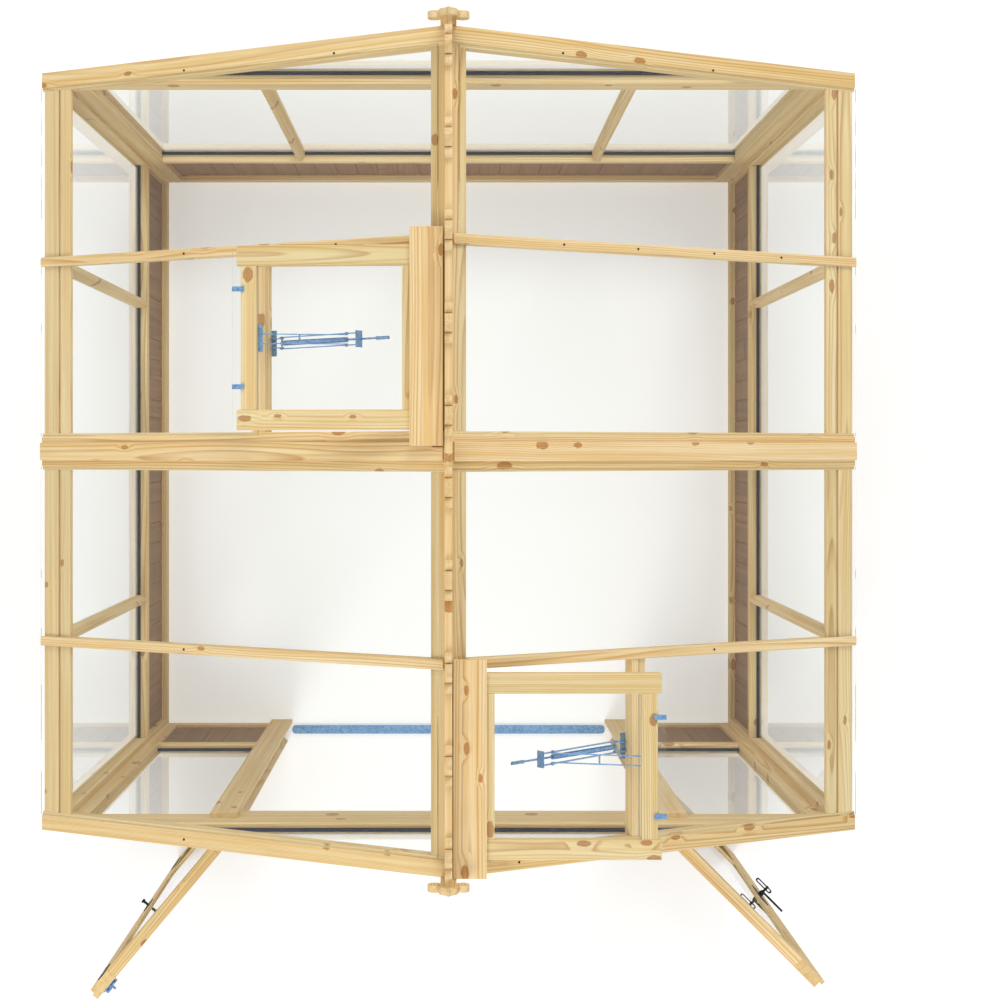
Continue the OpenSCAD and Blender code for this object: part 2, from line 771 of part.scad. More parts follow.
function head_board_y(vent) =
    vent == "left" ? [sash_mid("left") - head_board_l / 2 + 2, sash_mid("left") + head_board_l / 2 + 2]
                   : [barge_out - head_board_l, barge_out - 1];
function sash_y(vent) = vent == "left" ? inner_sash : outer_sash;
function sash_mid(vent) = (sash_y(vent)[0] + sash_y(vent)[1]) / 2;
function opener_y(vent) = sash_mid(vent) - (vent == "left" ? 0 : barge_lap);
function bay_y(vent) = vent == "left" ? inner_bay : outer_bay;
function vent_side(vent) = vent == "left" ? -1 : 1;
function vent_end(vent) = vent == "left" ? 1 : -1;
function vent_open(vent) = vent == "left" ? left_vent_open : right_vent_open;

module vent_trimmers() {
    color(wood) house() for (vent = ["left", "right"])
        on_slope(vent_side(vent)) at_end(vent_end(vent)) difference() {
            bar(trimmer_u, trimmer_u + trimmer_w, bay_y(vent)[0], bay_y(vent)[1],
                -rafter_t, glass_n + glass_t - seat_gap);
            bar(ledge_u, big, 0, big, glass_n, over);
        }
}

module roof_panes() {
    g = pane_gap;
    inner = [centre_rafter_w - ledge_w + g, bar_y - tongue_w / 2 - g];
    outer = [bar_y + tongue_w / 2 + g, barge_in + ledge_w - g];
    color(clear_glass, 0.35) house() for (side = [-1, 1], end = [-1, 1], bay = ["inner", "outer"]) {
        y = bay == "inner" ? inner : outer;
        u0 = vent_here(side, end, bay) ? ledge_u + g : pane_start_u;
        on_slope(side) at_end(end) bar(u0, pane_end_u, y[0], y[1], glass_n, glass_n + glass_t);
    }
}

/* Ridge */
// Three lobes on a base line, the middle one drawn up to a point
module lobes(mid_r, side_r, mid_z, side_x, side_z, point) {
    translate([0, mid_z]) circle(mid_r);
    for (s = [-1, 1]) translate([s * side_x, side_z]) circle(side_r);
    polygon([[-mid_r * 0.84, mid_z], [0, point], [mid_r * 0.84, mid_z]]);
}

function arc(x, z, r, a0, a1) =
    [for (i = [0 : 12]) let (a = a0 + (a1 - a0) * i / 12) [x + r * cos(a), z + r * sin(a)]];

crest_pitch = (barge_out - crest_last - crest_first) / (crest_count - 1);
// The edge of one ornament: a pointed middle lobe between two round ones
crest_edge = concat(arc(-crest_lobe_r - crest_side_r, crest_side_r / 2, crest_side_r, 210, 0),
                    arc(0, crest_lobe_r / 2, crest_lobe_r, 190, 115), [[0, crest_point]],
                    arc(0, crest_lobe_r / 2, crest_lobe_r, 65, -10),
                    arc(crest_lobe_r + crest_side_r, crest_side_r / 2, crest_side_r, 180, -30));

module crest_outline() {
    plain = ridge_top + crest_h;
    low = roof_z(ridge_t / 2, -rafter_t);
    spots = [for (i = [0 : crest_count - 1]) crest_first + i * crest_pitch];
    row = concat([for (i = [1 : crest_count]) -spots[crest_count - i]], spots);
    polygon(concat([[-barge_out, low], [-barge_out, plain]],
                   [for (y = row, p = crest_edge) [y + p[0], plain + p[1]]],
                   [[barge_out, plain], [barge_out, low]]));
}

module ridge_board() {
    color(wood) house() rotate([90, 0, 90]) translate([0, 0, -ridge_t / 2])
        linear_extrude(ridge_t) crest_outline();
}

module finial_outline() {
    mid_z = finial_h - finial_lobe_r * 1.45;
    side_z = mid_z - finial_lobe_r * 0.85;
    translate([0, ridge_top]) {
        translate([-finial_stem_w / 2, -finial_drop]) square([finial_stem_w, finial_drop + mid_z]);
        lobes(finial_lobe_r, finial_side_r, mid_z, finial_lobe_r + finial_side_r * 0.6, side_z, finial_h);
    }
}

module finials() {
    color(wood) house() both_y() xz_prism(barge_out, barge_out + finial_t) finial_outline();
}

// Screw heads as [side, distance down the slope, distance along the ridge, height]
screw_r = 3.5;
screw_h = 1.2;
cap_n = glass_n + glass_t + cap_h;
screw_spots = [[-1, 916, bar_y, cap_n], [-1, 371, bar_y, cap_n], [1, 381, bar_y, cap_n],
               [1, 641, bar_y, cap_n], [1, 920, bar_y, cap_n], [1, 1177, bar_y, cap_n],
               [1, 381, barge_in + 16, 0], [1, 920, barge_in + 16, 0],
               [1, 232, -barge_in - 38, 0], [-1, 920, -barge_in - 38, 0],
               [-1, 916, -bar_y, cap_n], [1, 920, -bar_y, cap_n],
               [-1, 381, barge_in + 16, 0], [-1, 920, barge_in + 16, 0]];

module roof_screws() {
    color(iron) house() for (p = screw_spots) on_slope(p[0]) translate([p[1], p[2], p[3]])
        cylinder(r = screw_r, h = screw_h);
}

// The strip between the jambs, with a tab behind it for the foot bolt of the left leaf
module threshold_strip() {
    y = -front_in - threshold_w / 2 - threshold_back;
    r = threshold_w / 2 - 2;
    bolt_x = bolt_a - door_axis_x;
    bolt_y = bolt_b - door_axis_y;
    color(zinc) house() linear_extrude(threshold_h) difference() {
        union() {
            translate([bolt_x - keep_w / 2, y]) square([keep_w, bolt_y + keep_w / 2 - y]);
            translate([0, y]) {
                square([threshold_l - 2 * r, threshold_w], center = true);
                for (s = [-1, 1]) {
                    translate([s * (threshold_l / 2 - r), threshold_w / 2 - r]) circle(r);
                    translate([s * (threshold_l / 2 - r), r - threshold_w / 2]) circle(r);
                    translate([s * (threshold_l / 2 - r / 2), 0])
                        square([r, threshold_w - 2 * r], center = true);
                }
            }
        }
        translate([bolt_x, bolt_y]) circle(bolt_r + keep_clear);
    }
}

/* Vents */
module on_vent_bay(vent) {
    on_slope(vent_side(vent)) at_end(vent_end(vent)) children();
}

// The frame of a sash, turned about its hinge axis
module on_sash(vent) {
    on_vent_bay(vent) translate([vent_axis_u, 0, vent_n]) rotate([0, -vent_open(vent), 0])
        translate([-vent_axis_u, 0, -vent_n]) children();
}

function hinge_spots(vent) =
    [for (s = [-1, 1]) sash_mid(vent) + s * (sash_y(vent)[1] - sash_y(vent)[0]) * 0.3];

knuckle_gap = 0.4;
vent_leaf_l = 30;
pin_head_l = 1.6;
pin_head_out = 1.2;
// One knuckle of a vent hinge, from y0 to y1 along the axis
module vent_knuckle(y0, y1) {
    translate([vent_axis_u, y1, vent_n]) rotate([90, 0, 0]) cylinder(r = vent_knuckle_r, h = y1 - y0);
}

module vent_hinges() {
    third = vent_hinge_l / 3;
    color(zinc) house() for (vent = ["left", "right"]) on_vent_bay(vent)
        for (y = hinge_spots(vent)) {
            difference() {
                union() {
                    vent_knuckle(y - vent_hinge_l / 2, y - third / 2 - knuckle_gap);
                    vent_knuckle(y + third / 2 + knuckle_gap, y + vent_hinge_l / 2);
                    bar(vent_axis_u - vent_leaf_l, vent_axis_u - vent_knuckle_r - knuckle_gap,
                        y - vent_hinge_l / 2, y + vent_hinge_l / 2, glass_n, glass_n + hinge_leaf_t);
                    for (s = [-1, 1])
                        bar(vent_axis_u - vent_knuckle_r - 2, vent_axis_u,
                            y + s * (third + knuckle_gap / 2) + (knuckle_gap - third) / 2,
                            y + s * (third + knuckle_gap / 2) + (third - knuckle_gap) / 2,
                            glass_n, glass_n + hinge_leaf_t);
                }
                translate([vent_axis_u, y, vent_n]) rotate([90, 0, 0])
                    cylinder(r = vent_pin_r + fit, h = 2 * vent_hinge_l, center = true);
            }
            translate([vent_axis_u, y, vent_n]) rotate([90, 0, 0])
                cylinder(r = vent_pin_r, h = vent_hinge_l, center = true);
            for (s = [-1, 1])
                translate([vent_axis_u, y + s * (vent_hinge_l + pin_head_l) / 2, vent_n])
                    rotate([90, 0, 0])
                        cylinder(r = vent_pin_r + pin_head_out, h = pin_head_l, center = true);
        }
}

// The side rails run on over the trimmer as short horns
horn_n = 0.4;
horn_room = 3;
module vent_frame(vent) {
    y = sash_y(vent);
    in0 = y[0] + sash_rail_w;
    in1 = y[1] - sash_rail_w;
    notch_u = trimmer_u - horn_room;
    g = shoulder_gap;
    color(wood) house() on_sash(vent) {
        for (y0 = [y[0], in1])
            xz_prism(y0, y0 + sash_rail_w)
                polygon([[sash_u, sash_low], [notch_u, sash_low], [notch_u, horn_n],
                         [trimmer_u + horn, horn_n], [trimmer_u + horn, sash_top], [sash_u, sash_top]]);
        bar(sash_u, sash_u + sash_head_w, in0 + g, in1 - g, sash_low, sash_top);
        bar(sash_end_u - sash_foot_w, sash_end_u, in0 + g, in1 - g, sash_low, sash_top);
    }
}

pane_inset = 6;
module vent_pane(vent) {
    y = sash_y(vent);
    color(clear_glass, 0.35) house() on_sash(vent)
        bar(head_board_u + head_board_w + pane_gap, trimmer_u + sash_drip,
            y[0] + pane_inset, y[1] - pane_inset, sash_top, sash_top + glass_t);
}

module vent_head_board(vent) {
    y = head_board_y(vent);
    color(wood) house() on_sash(vent)
        bar(head_board_u, head_board_u + head_board_w, y[0], y[1], sash_top, sash_top + head_board_t);
}

// The hinge leaves on the sash, the clips that hold its glass and the opener's bracket
module vent_fittings(vent) {
    third = vent_hinge_l / 3;
    y = sash_y(vent);
    color(zinc) house() on_sash(vent) {
        for (h = hinge_spots(vent)) difference() {
            union() {
                vent_knuckle(h - third / 2, h + third / 2);
                bar(vent_axis_u, sash_u, h - third / 2, h + third / 2,
                    vent_n - hinge_leaf_t / 2, vent_n + hinge_leaf_t / 2);
                bar(sash_u - hinge_leaf_t, sash_u, h - vent_hinge_l / 2, h + vent_hinge_l / 2,
                    vent_n - hinge_leaf_t / 2 + 4, sash_top - 2);
                bar(sash_u - hinge_leaf_t, sash_u, h - third / 2, h + third / 2,
                    vent_n - hinge_leaf_t / 2, sash_top - 2);
            }
            translate([vent_axis_u, h, vent_n]) rotate([90, 0, 0])
                cylinder(r = vent_pin_r + fit, h = 2 * vent_hinge_l, center = true);
        }
        for (s = [-1, 1]) glass_clip(sash_mid(vent) + s * clip_share * (y[1] - y[0]) / 2);
        sash_bracket(vent);
    }
}

// A hook of strip zinc screwed on the bottom rail, round the glass edge
clip_tail = 14;
module glass_clip(y) {
    end_u = trimmer_u + sash_drip;
    y0 = y - clip_w / 2;
    y1 = y + clip_w / 2;
    top = sash_top + glass_t;
    bar(sash_end_u, sash_end_u + clip_t, y0, y1, sash_top - clip_tail, sash_top);
    bar(sash_end_u, end_u + clip_t, y0, y1, sash_top - clip_t, sash_top);
    bar(end_u, end_u + clip_t, y0, y1, sash_top - clip_t, top + clip_t);
    bar(end_u - clip_reach, end_u + clip_t, y0, y1, top, top + clip_t);
}

/* Openers */
base_pivot = [base_pivot_u, -base_pivot_d];
sash_pivot = [sash_pivot_u, sash_low - sash_pivot_d];
axis_point = [vent_axis_u, vent_n];

function turned(p, a) = [axis_point[0] + (p[0] - axis_point[0]) * cos(a) - (p[1] - axis_point[1]) * sin(a),
                         axis_point[1] + (p[0] - axis_point[0]) * sin(a) + (p[1] - axis_point[1]) * cos(a)];
// Direction of the lower frame for a vent opened by an angle, from the triangle of its pivots
function lower_angle(a) =
    let (s = turned(sash_pivot, a), d = s - base_pivot, l = norm(d),
         c = (pow(opener_lower_l, 2) + l * l - pow(opener_upper_l, 2)) / (2 * opener_lower_l * l))
    atan2(d[1], d[0]) + acos(max(-1, min(1, c)));
function elbow(a) = base_pivot + opener_lower_l * [cos(lower_angle(a)), sin(lower_angle(a))];

// A frame whose +X runs from the base pivot to the elbow
module on_lower(vent) {
    on_vent_bay(vent) translate([base_pivot[0], opener_y(vent), base_pivot[1]])
        rotate([0, -lower_angle(vent_open(vent)), 0]) children();
}

// A frame whose +X runs from the sash pivot to the elbow
module on_upper(vent) {
    a = vent_open(vent);
    s = turned(sash_pivot, a);
    e = elbow(a);
    on_vent_bay(vent) translate([s[0], opener_y(vent), s[1]])
        rotate([0, -atan2(e[1] - s[1], e[0] - s[0]), 0]) children();
}

module cross_pin(x, z, r, w) {
    translate([x, 0, z]) rotate([90, 0, 0]) cylinder(r = r, h = w, center = true);
}

// The bracket under the sash with its two ears for the upper arms
ear_gap = 0.4;
sash_ear_r = 5;
base_ear_r = 7;
module sash_bracket(vent) {
    y = opener_y(vent);
    ear = upper_arm_gap / 2 - strip_t - ear_gap;
    edge = vent == "left" ? sash_end_u - sash_foot_w - 14 : sash_end_u - sash_foot_w + 2;
    bar(edge, sash_end_u - 6, y - opener_plate_w / 2, y + opener_plate_w / 2,
        sash_low - strip_t, sash_low);
    translate([0, y, 0]) {
        difference() {
            union() for (s = [-1, 1]) translate([0, s * (ear - strip_t / 2), 0]) {
                cross_pin(sash_pivot[0], sash_pivot[1], sash_ear_r, strip_t);
                bar(sash_pivot[0] - sash_ear_r, sash_pivot[0] + sash_ear_r, -strip_t / 2, strip_t / 2,
                    sash_pivot[1], sash_low - strip_t);
            }
            cross_pin(sash_pivot[0], sash_pivot[1], opener_pin_r + fit, opener_plate_w);
        }
    }
}

// The brackets under the trimmers with their ears for the lower frames
module opener_brackets() {
    w = opener_plate_w / 2;
    top = -rafter_t - seat_gap;
    ear = base_frame_w / 2 - strip_t - ear_gap;
    color(zinc) house() for (vent = ["left", "right"]) on_vent_bay(vent)
        translate([0, opener_y(vent), 0]) difference() {
            union() {
                bar(trimmer_u - bracket_reach, trimmer_u + bracket_back, -w, w, top - strip_t, top);
                for (s = [-1, 1]) translate([0, s * (ear - strip_t / 2), 0]) {
                    cross_pin(base_pivot[0], base_pivot[1], base_ear_r, strip_t);
                    bar(base_pivot[0], trimmer_u - link_gap, -strip_t / 2, strip_t / 2,
                        top - strip_t, -base_pivot_d + base_ear_r);
                }
            }
            cross_pin(base_pivot[0], base_pivot[1], opener_pin_r + fit, opener_plate_w);
        }
}

side_strip_w = 10;
boss_r = 4.5;
plate_reach = 6;
plate_up = 7;
plate_down = 7;
cylinder_start = 10;
cylinder_end = 8;
bore_l = 60;
rod_hold = 20;
// The cylinder's own frame, its +Z along the rod
module on_cylinder() {
    rotate([0, 90 - rod_droop, 0]) children();
}

// The lower frame: two side strips, the base pin, the wax cylinder and the cross plate
module opener_frame(vent) {
    side = base_frame_w / 2;
    end_x = opener_lower_l + cross_reach;
    cyl_x = opener_lower_l - cylinder_end;
    plate_low = end_x * sin(rod_droop) + plate_down;
    color(zinc) house() on_lower(vent) difference() {
        union() {
            for (s = [-1, 1]) translate([0, s * (side - strip_t / 2), 0]) {
                bar(-boss_r - 1.5, end_x, -strip_t / 2, strip_t / 2, -side_strip_w / 2, side_strip_w / 2);
                translate([0, s * strip_t, 0]) cross_pin(opener_lower_l, 0, boss_r, strip_t);
            }
            cross_pin(0, 0, opener_pin_r, 2 * side + strip_t);
            bar(end_x - strip_t, end_x, -side - plate_reach, side + plate_reach, -plate_up, plate_low);
            on_cylinder() translate([0, 0, cylinder_start])
                cylinder(r = wax_r, h = cyl_x - cylinder_start);
            bar(-2, cylinder_start + 2, -boss_r, boss_r, -4, 4);
        }
        on_cylinder() translate([0, 0, cyl_x - bore_l])
            cylinder(r = rod_r + fit, h = bore_l + cylinder_end + cross_reach + cylinder_start);
    }
}

// The piston rod with its adjuster, in the cylinder's bore and through the cross plate
module opener_rod(vent) {
    end_x = opener_lower_l + cross_reach;
    color(zinc) house() on_lower(vent) on_cylinder() {
        translate([0, 0, opener_lower_l - rod_hold])
            cylinder(r = rod_r, h = rod_hold + cross_reach + rod_free);
        translate([0, 0, end_x + rod_free]) cylinder(r = adjuster_r, h = adjuster_l);
    }
}

arm_w = 7;
arm_eye_r = 5;
arm_end_r = 5.5;
spacer_r = 2.5;
eye_r = 2;
// The two upper arms with the pin at the sash and the spacer between them
module opener_arms(vent) {
    color(zinc) house() on_upper(vent) {
        for (s = [-1, 1])
            translate([0, s * (upper_arm_gap - strip_t) / 2, 0]) difference() {
                union() {
                    bar(0, opener_upper_l, -strip_t / 2, strip_t / 2, -arm_w / 2, arm_w / 2);
                    cross_pin(0, 0, arm_end_r, strip_t);
                    cross_pin(opener_upper_l, 0, arm_eye_r, strip_t);
                }
                cross_pin(opener_upper_l, 0, eye_r, 4 * strip_t);
            }
        cross_pin(0, 0, opener_pin_r, upper_arm_gap - 2 * strip_t);
        cross_pin(opener_upper_l / 2, 0, spacer_r, upper_arm_gap - 2 * strip_t);
    }
}

/* Doors */
// A leaf's own frame: a from the hinge axis to the tip, b from the axis to the room, and up
module on_leaf(hand) {
    open = hand == "left" ? left_door_open : right_door_open;
    mirror([hand == "left" ? 1 : 0, 0, 0]) translate([door_axis_x, -door_axis_y, 0])
        rotate([0, 0, open]) mirror([1, 0, 0]) children();
}

// The same frame with the leaf shut
module on_jamb(hand) {
    mirror([hand == "left" ? 1 : 0, 0, 0]) translate([door_axis_x, -door_axis_y, 0])
        mirror([1, 0, 0]) children();
}

// The left leaf's meeting stile is rebated for the lip of the right leaf
module leading_stile(hand) {
    a0 = leaf_a1 - leaf_stile_w;
    cut = leaf_a1 + meeting_gap - lip_w - 2;
    difference() {
        union() {
            bar(a0, leaf_a1, leaf_b0, leaf_b1, leaf_floor_gap, leaf_top);
            if (hand == "right")
                bar(leaf_a1 - over, leaf_a1 + lip_w, leaf_b0, leaf_b0 + lip_t, leaf_floor_gap, leaf_top);
        }
        if (hand == "left")
            bar(cut, leaf_a1 + over, leaf_b0 - over, leaf_b0 + lip_t + 2, 0, big);
        if (hand == "right")
            translate([handle_a, 0, handle_z]) rotate([90, 0, 0])
                cylinder(r = spindle_r + fit, h = big, center = true);
    }
}

module door_frame(hand) {
    g = shoulder_gap;
    a0 = leaf_a0 + leaf_stile_w;
    a1 = leaf_a1 - leaf_stile_w;
    color(wood) house() on_leaf(hand) {
        bar(leaf_a0, a0, leaf_b0, leaf_b1, leaf_floor_gap, leaf_top);
        leading_stile(hand);
        bar(a0 + g, a1 - g, leaf_b0, leaf_b1, leaf_top - leaf_rail_w, leaf_top);
        bar(a0 + g, a1 - g, leaf_b0, leaf_b1, dado_z, dado_top);
        bar(a0 + g, a1 - g, leaf_b0, leaf_b1, leaf_floor_gap, leaf_floor_gap + leaf_foot_h);
    }
}

module door_boards(hand) {
    color(wood_dark) house() on_leaf(hand)
        translate([0, leaf_b1 - front_board_set - board_t, 0])
            board_row(leaf_a0 + leaf_stile_w, leaf_a1 - leaf_stile_w,
                leaf_floor_gap + leaf_foot_h, dado_z);
}

module door_pane(hand) {
    g = pane_gap;
    color(clear_glass, 0.35) house() on_leaf(hand)
        bar(leaf_a0 + leaf_stile_w + g, leaf_a1 - leaf_stile_w - g, leaf_glass_b,
            leaf_glass_b + glass_t, dado_top, leaf_top - leaf_rail_w - g);
}

module door_seal(hand) {
    color(seal_black) house() on_leaf(hand)
        bar(leaf_a0 + leaf_stile_w, leaf_a1 - leaf_stile_w, leaf_glass_b + glass_t,
            leaf_glass_b + glass_t + seal_w, dado_top, dado_top + seal_h);
}

module door_beads(hand) {
    a0 = leaf_a0 + leaf_stile_w;
    a1 = leaf_a1 - leaf_stile_w;
    top = leaf_top - leaf_rail_w;
    color(wood) house() on_leaf(hand) {
        bar(a0, a0 + bead_w, leaf_b0, leaf_glass_b, dado_top, top);
        bar(a1 - bead_w, a1, leaf_b0, leaf_glass_b, dado_top, top);
        bar(a0 + bead_w, a1 - bead_w, leaf_b0, leaf_glass_b, dado_top, dado_top + bead_w);
        bar(a0 + bead_w, a1 - bead_w, leaf_b0, leaf_glass_b, top - bead_w, top);
    }
}

hinge_inset = 150;
strap_l = 31;
crank = 3;
door_pin_head_l = 3;
function door_hinge_z(i) =
    let (low = leaf_floor_gap + hinge_inset, high = leaf_top - hinge_inset)
    low + i * (high - low) / (door_hinges - 1);

module door_knuckle(z0, z1) {
    translate([0, 0, z0]) cylinder(r = door_knuckle_r, h = z1 - z0);
}

// The cranked leaves on the jambs, with the pins
module door_hinges_fixed() {
    third = door_hinge_l / 3;
    face_b = door_axis_y - outer_l / 2;
    color(zinc) house() for (hand = ["left", "right"], i = [0 : door_hinges - 1])
        on_jamb(hand) translate([0, 0, door_hinge_z(i)]) {
            difference() {
                union() {
                    for (s = [-1, 1]) {
                        z0 = s < 0 ? -door_hinge_l / 2 : third / 2 + knuckle_gap;
                        z1 = z0 + third - knuckle_gap;
                        door_knuckle(z0, z1);
                        bar(-hinge_leaf_t - crank, 0, -hinge_leaf_t / 2, hinge_leaf_t / 2, z0, z1);
                        bar(-hinge_leaf_t - crank, -crank, -hinge_leaf_t / 2, face_b, z0, z1);
                    }
                    bar(-strap_l - crank, -crank, face_b - hinge_leaf_t, face_b,
                        -door_hinge_l / 2, door_hinge_l / 2);
                }
                cylinder(r = door_pin_r + fit, h = 2 * door_hinge_l, center = true);
            }
            cylinder(r = door_pin_r, h = door_hinge_l, center = true);
            for (s = [-1, 1])
                translate([0, 0, s * (door_hinge_l + door_pin_head_l) / 2])
                    cylinder(r = door_knuckle_r - 1, h = door_pin_head_l, center = true);
        }
}

// The strap on the leaf at each hinge, and the cases of the bolts on the left leaf
module door_straps(hand) {
    third = door_hinge_l / 3;
    color(zinc) house() on_leaf(hand) {
        for (i = [0 : door_hinges - 1]) translate([0, 0, door_hinge_z(i)]) difference() {
            union() {
                door_knuckle(-third / 2, third / 2);
                bar(0, leaf_a0 + 10, leaf_b0 - hinge_leaf_t, leaf_b0, -third / 2, third / 2);
                bar(leaf_a0 + crank, leaf_a0 + crank + strap_l, leaf_b0 - hinge_leaf_t, leaf_b0,
                    -door_hinge_l / 2, door_hinge_l / 2);
            }
            cylinder(r = door_pin_r + fit, h = 2 * door_hinge_l, center = true);
        }
        if (hand == "left") {
            translate([bolt_a, 0, leaf_top]) mirror([0, 0, 1]) bolt_case();
            translate([bolt_a, 0, leaf_floor_gap]) bolt_case();
        }
    }
}

bolt_edge = 12;
guide_l = 16;
guide_w = 18;
bolt_end = 3;
bolt_knob_r = 4;
// A bolt's plate and its two guides, from the edge of the leaf inwards
module bolt_case() {
    w = bolt_plate_w / 2;
    bar(-w, w, leaf_b1, leaf_b1 + fitting_t, bolt_edge, bolt_l + 10);
    for (z = [bolt_edge + 6, bolt_l - guide_l]) difference() {
        bar(-guide_w / 2, guide_w / 2, leaf_b1 + fitting_t, bolt_b + bolt_r + 2, z, z + guide_l);
        translate([0, bolt_b, z - over]) cylinder(r = bolt_r + fit, h = guide_l + 2 * over);
    }
}

// A round bolt with its knob, its end flush with the edge of the leaf
module sliding_bolt() {
    color(zinc) {
        translate([0, 0, bolt_end]) cylinder(r = bolt_r, h = bolt_l + 5);
        translate([0, 0, (bolt_l + guide_w) / 2]) rotate([-90, 0, 0])
            cylinder(r = bolt_knob_r, h = bolt_r + 14);
    }
}

module left_door_bolt() {
    house() on_leaf("left") translate([bolt_a, bolt_b, leaf_top]) mirror([0, 0, 1]) sliding_bolt();
}

module left_door_foot_bolt() {
    house() on_leaf("left") translate([bolt_a, bolt_b, leaf_floor_gap]) sliding_bolt();
}

module handle_plate(b, w, z0, z1, bored) {
    translate([handle_a, b, 0]) difference() {
        bar(-w / 2, w / 2, 0, fitting_t, z0, z1);
        if (bored)
            translate([0, 0, handle_z]) rotate([90, 0, 0])
                cylinder(r = spindle_r + fit, h = 100, center = true);
    }
}

head_plate_z = [leaf_top - 122, leaf_top - 17];
foot_plate_z = [leaf_floor_gap + 143, leaf_floor_gap + 280];
// The plates on both faces of the right leaf; the knob and the keep plates of the left leaf
module door_fittings(hand) {
    half = handle_plate_l / 2;
    color(iron) house() on_leaf(hand) {
        if (hand == "right") {
            handle_plate(leaf_b0 - fitting_t, handle_plate_w, handle_z - half, handle_z + half, true);
            handle_plate(leaf_b1, handle_plate_w, handle_z - half, handle_z + half, true);
        }
        if (hand == "left") {
            left_knob();
            for (z = [head_plate_z, foot_plate_z])
                handle_plate(leaf_b0 - fitting_t, bolt_plate_w, z[0], z[1], false);
        }
    }
}

knob_plate = [32, 80];
knob_l = 9;
knob_stem_l = 24;
module left_knob() {
    w = knob_plate[0] / 2;
    h = knob_plate[1] / 2;
    translate([handle_a, leaf_b0, handle_z]) {
        bar(-w, w, -fitting_t, 0, -h, h);
        rotate([90, 0, 0]) {
            cylinder(r = spindle_r, h = knob_stem_l);
            translate([0, 0, knob_stem_l - 2]) cylinder(r = knob_r, h = knob_l);
        }
    }
}

plate_play = 0.3;
rose_r = 10;
rose_l = 10;
lever_t = 8;
room_lever_w = 10;
room_lever_gap = 26;
scroll_gap = 24;
scroll_x = -15;
scroll_h = 10;
// The spindle with a scrolled lever outside and a plain lever in the room
module right_door_lever() {
    out = leaf_b0 - fitting_t - plate_play;
    room = leaf_b1 + fitting_t + plate_play;
    room_end = room + room_lever_gap + lever_t;
    scroll_end = out - scroll_gap - 2 * scroll_h;
    color(iron) house() on_leaf("right") translate([handle_a, 0, handle_z]) {
        translate([0, room_end, 0]) rotate([90, 0, 0]) cylinder(r = spindle_r, h = room_end - scroll_end);
        translate([0, out, 0]) rotate([90, 0, 0]) cylinder(r = rose_r, h = rose_l);
        translate([0, room + rose_l, 0]) rotate([90, 0, 0]) cylinder(r = rose_r, h = rose_l);
        bar(-lever_t, lever_reach, out - rose_l - lever_t, out - rose_l, -lever_t / 2, lever_t / 2);
        bar(-lever_reach, lever_t, room + room_lever_gap, room_end, -room_lever_w / 2, room_lever_w / 2);
        translate([scroll_x, out - scroll_gap - scroll_h, -scroll_h / 2]) difference() {
            linear_extrude(scroll_h) scroll_outline(scroll_l / 2, scroll_w / 2);
            translate([0, 0, -over]) linear_extrude(scroll_h + 2 * over)
                scroll_outline(scroll_l / 2 - scroll_rim, scroll_w / 2 - scroll_rim);
        }
    }
}

// A long oval, l and w to each side
module scroll_outline(l, w) {
    for (s = [-1, 1]) translate([s * (l - w), 0]) circle(w);
    square([2 * (l - w), 2 * w], center = true);
}

sole_rails();
dado_rails();
corner_stiles();
middle_stiles();
wall_mullions();
tie_beams();
side_plates();
front_head_rails();
door_jambs();
base_boards();
wall_panes();
pane_seals();
glazing_beads();
gable_posts();
barge_rafters();
centre_rafters();
ridge_rails();
eave_rails();
glazing_bars();
cover_strips();
vent_trimmers();
roof_panes();
ridge_board();
finials();
roof_screws();
threshold_strip();
vent_hinges();
opener_brackets();
vent_frame("left");  // left_vent_frame
vent_pane("left");  // left_vent_pane
vent_head_board("left");  // left_vent_head_board
vent_fittings("left");  // left_vent_fittings
opener_frame("left");  // left_opener_frame
opener_rod("left");  // left_opener_rod
opener_arms("left");  // left_opener_arms
vent_frame("right");  // right_vent_frame
vent_pane("right");  // right_vent_pane
vent_head_board("right");  // right_vent_head_board
vent_fittings("right");  // right_vent_fittings
opener_frame("right");  // right_opener_frame
opener_rod("right");  // right_opener_rod
opener_arms("right");  // right_opener_arms
door_hinges_fixed();
door_frame("left");  // left_door_frame
door_boards("left");  // left_door_boards
door_pane("left");  // left_door_pane
door_seal("left");  // left_door_seal
door_beads("left");  // left_door_beads
door_straps("left");  // left_door_straps
door_fittings("left");  // left_door_fittings
left_door_bolt();
left_door_foot_bolt();
door_frame("right");  // right_door_frame
door_boards("right");  // right_door_boards
door_pane("right");  // right_door_pane
door_seal("right");  // right_door_seal
door_beads("right");  // right_door_beads
door_straps("right");  // right_door_straps
door_fittings("right");  // right_door_fittings
right_door_lever();
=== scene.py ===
import json
import math
import random

import bmesh
import bpy
from mathutils import Matrix, Vector


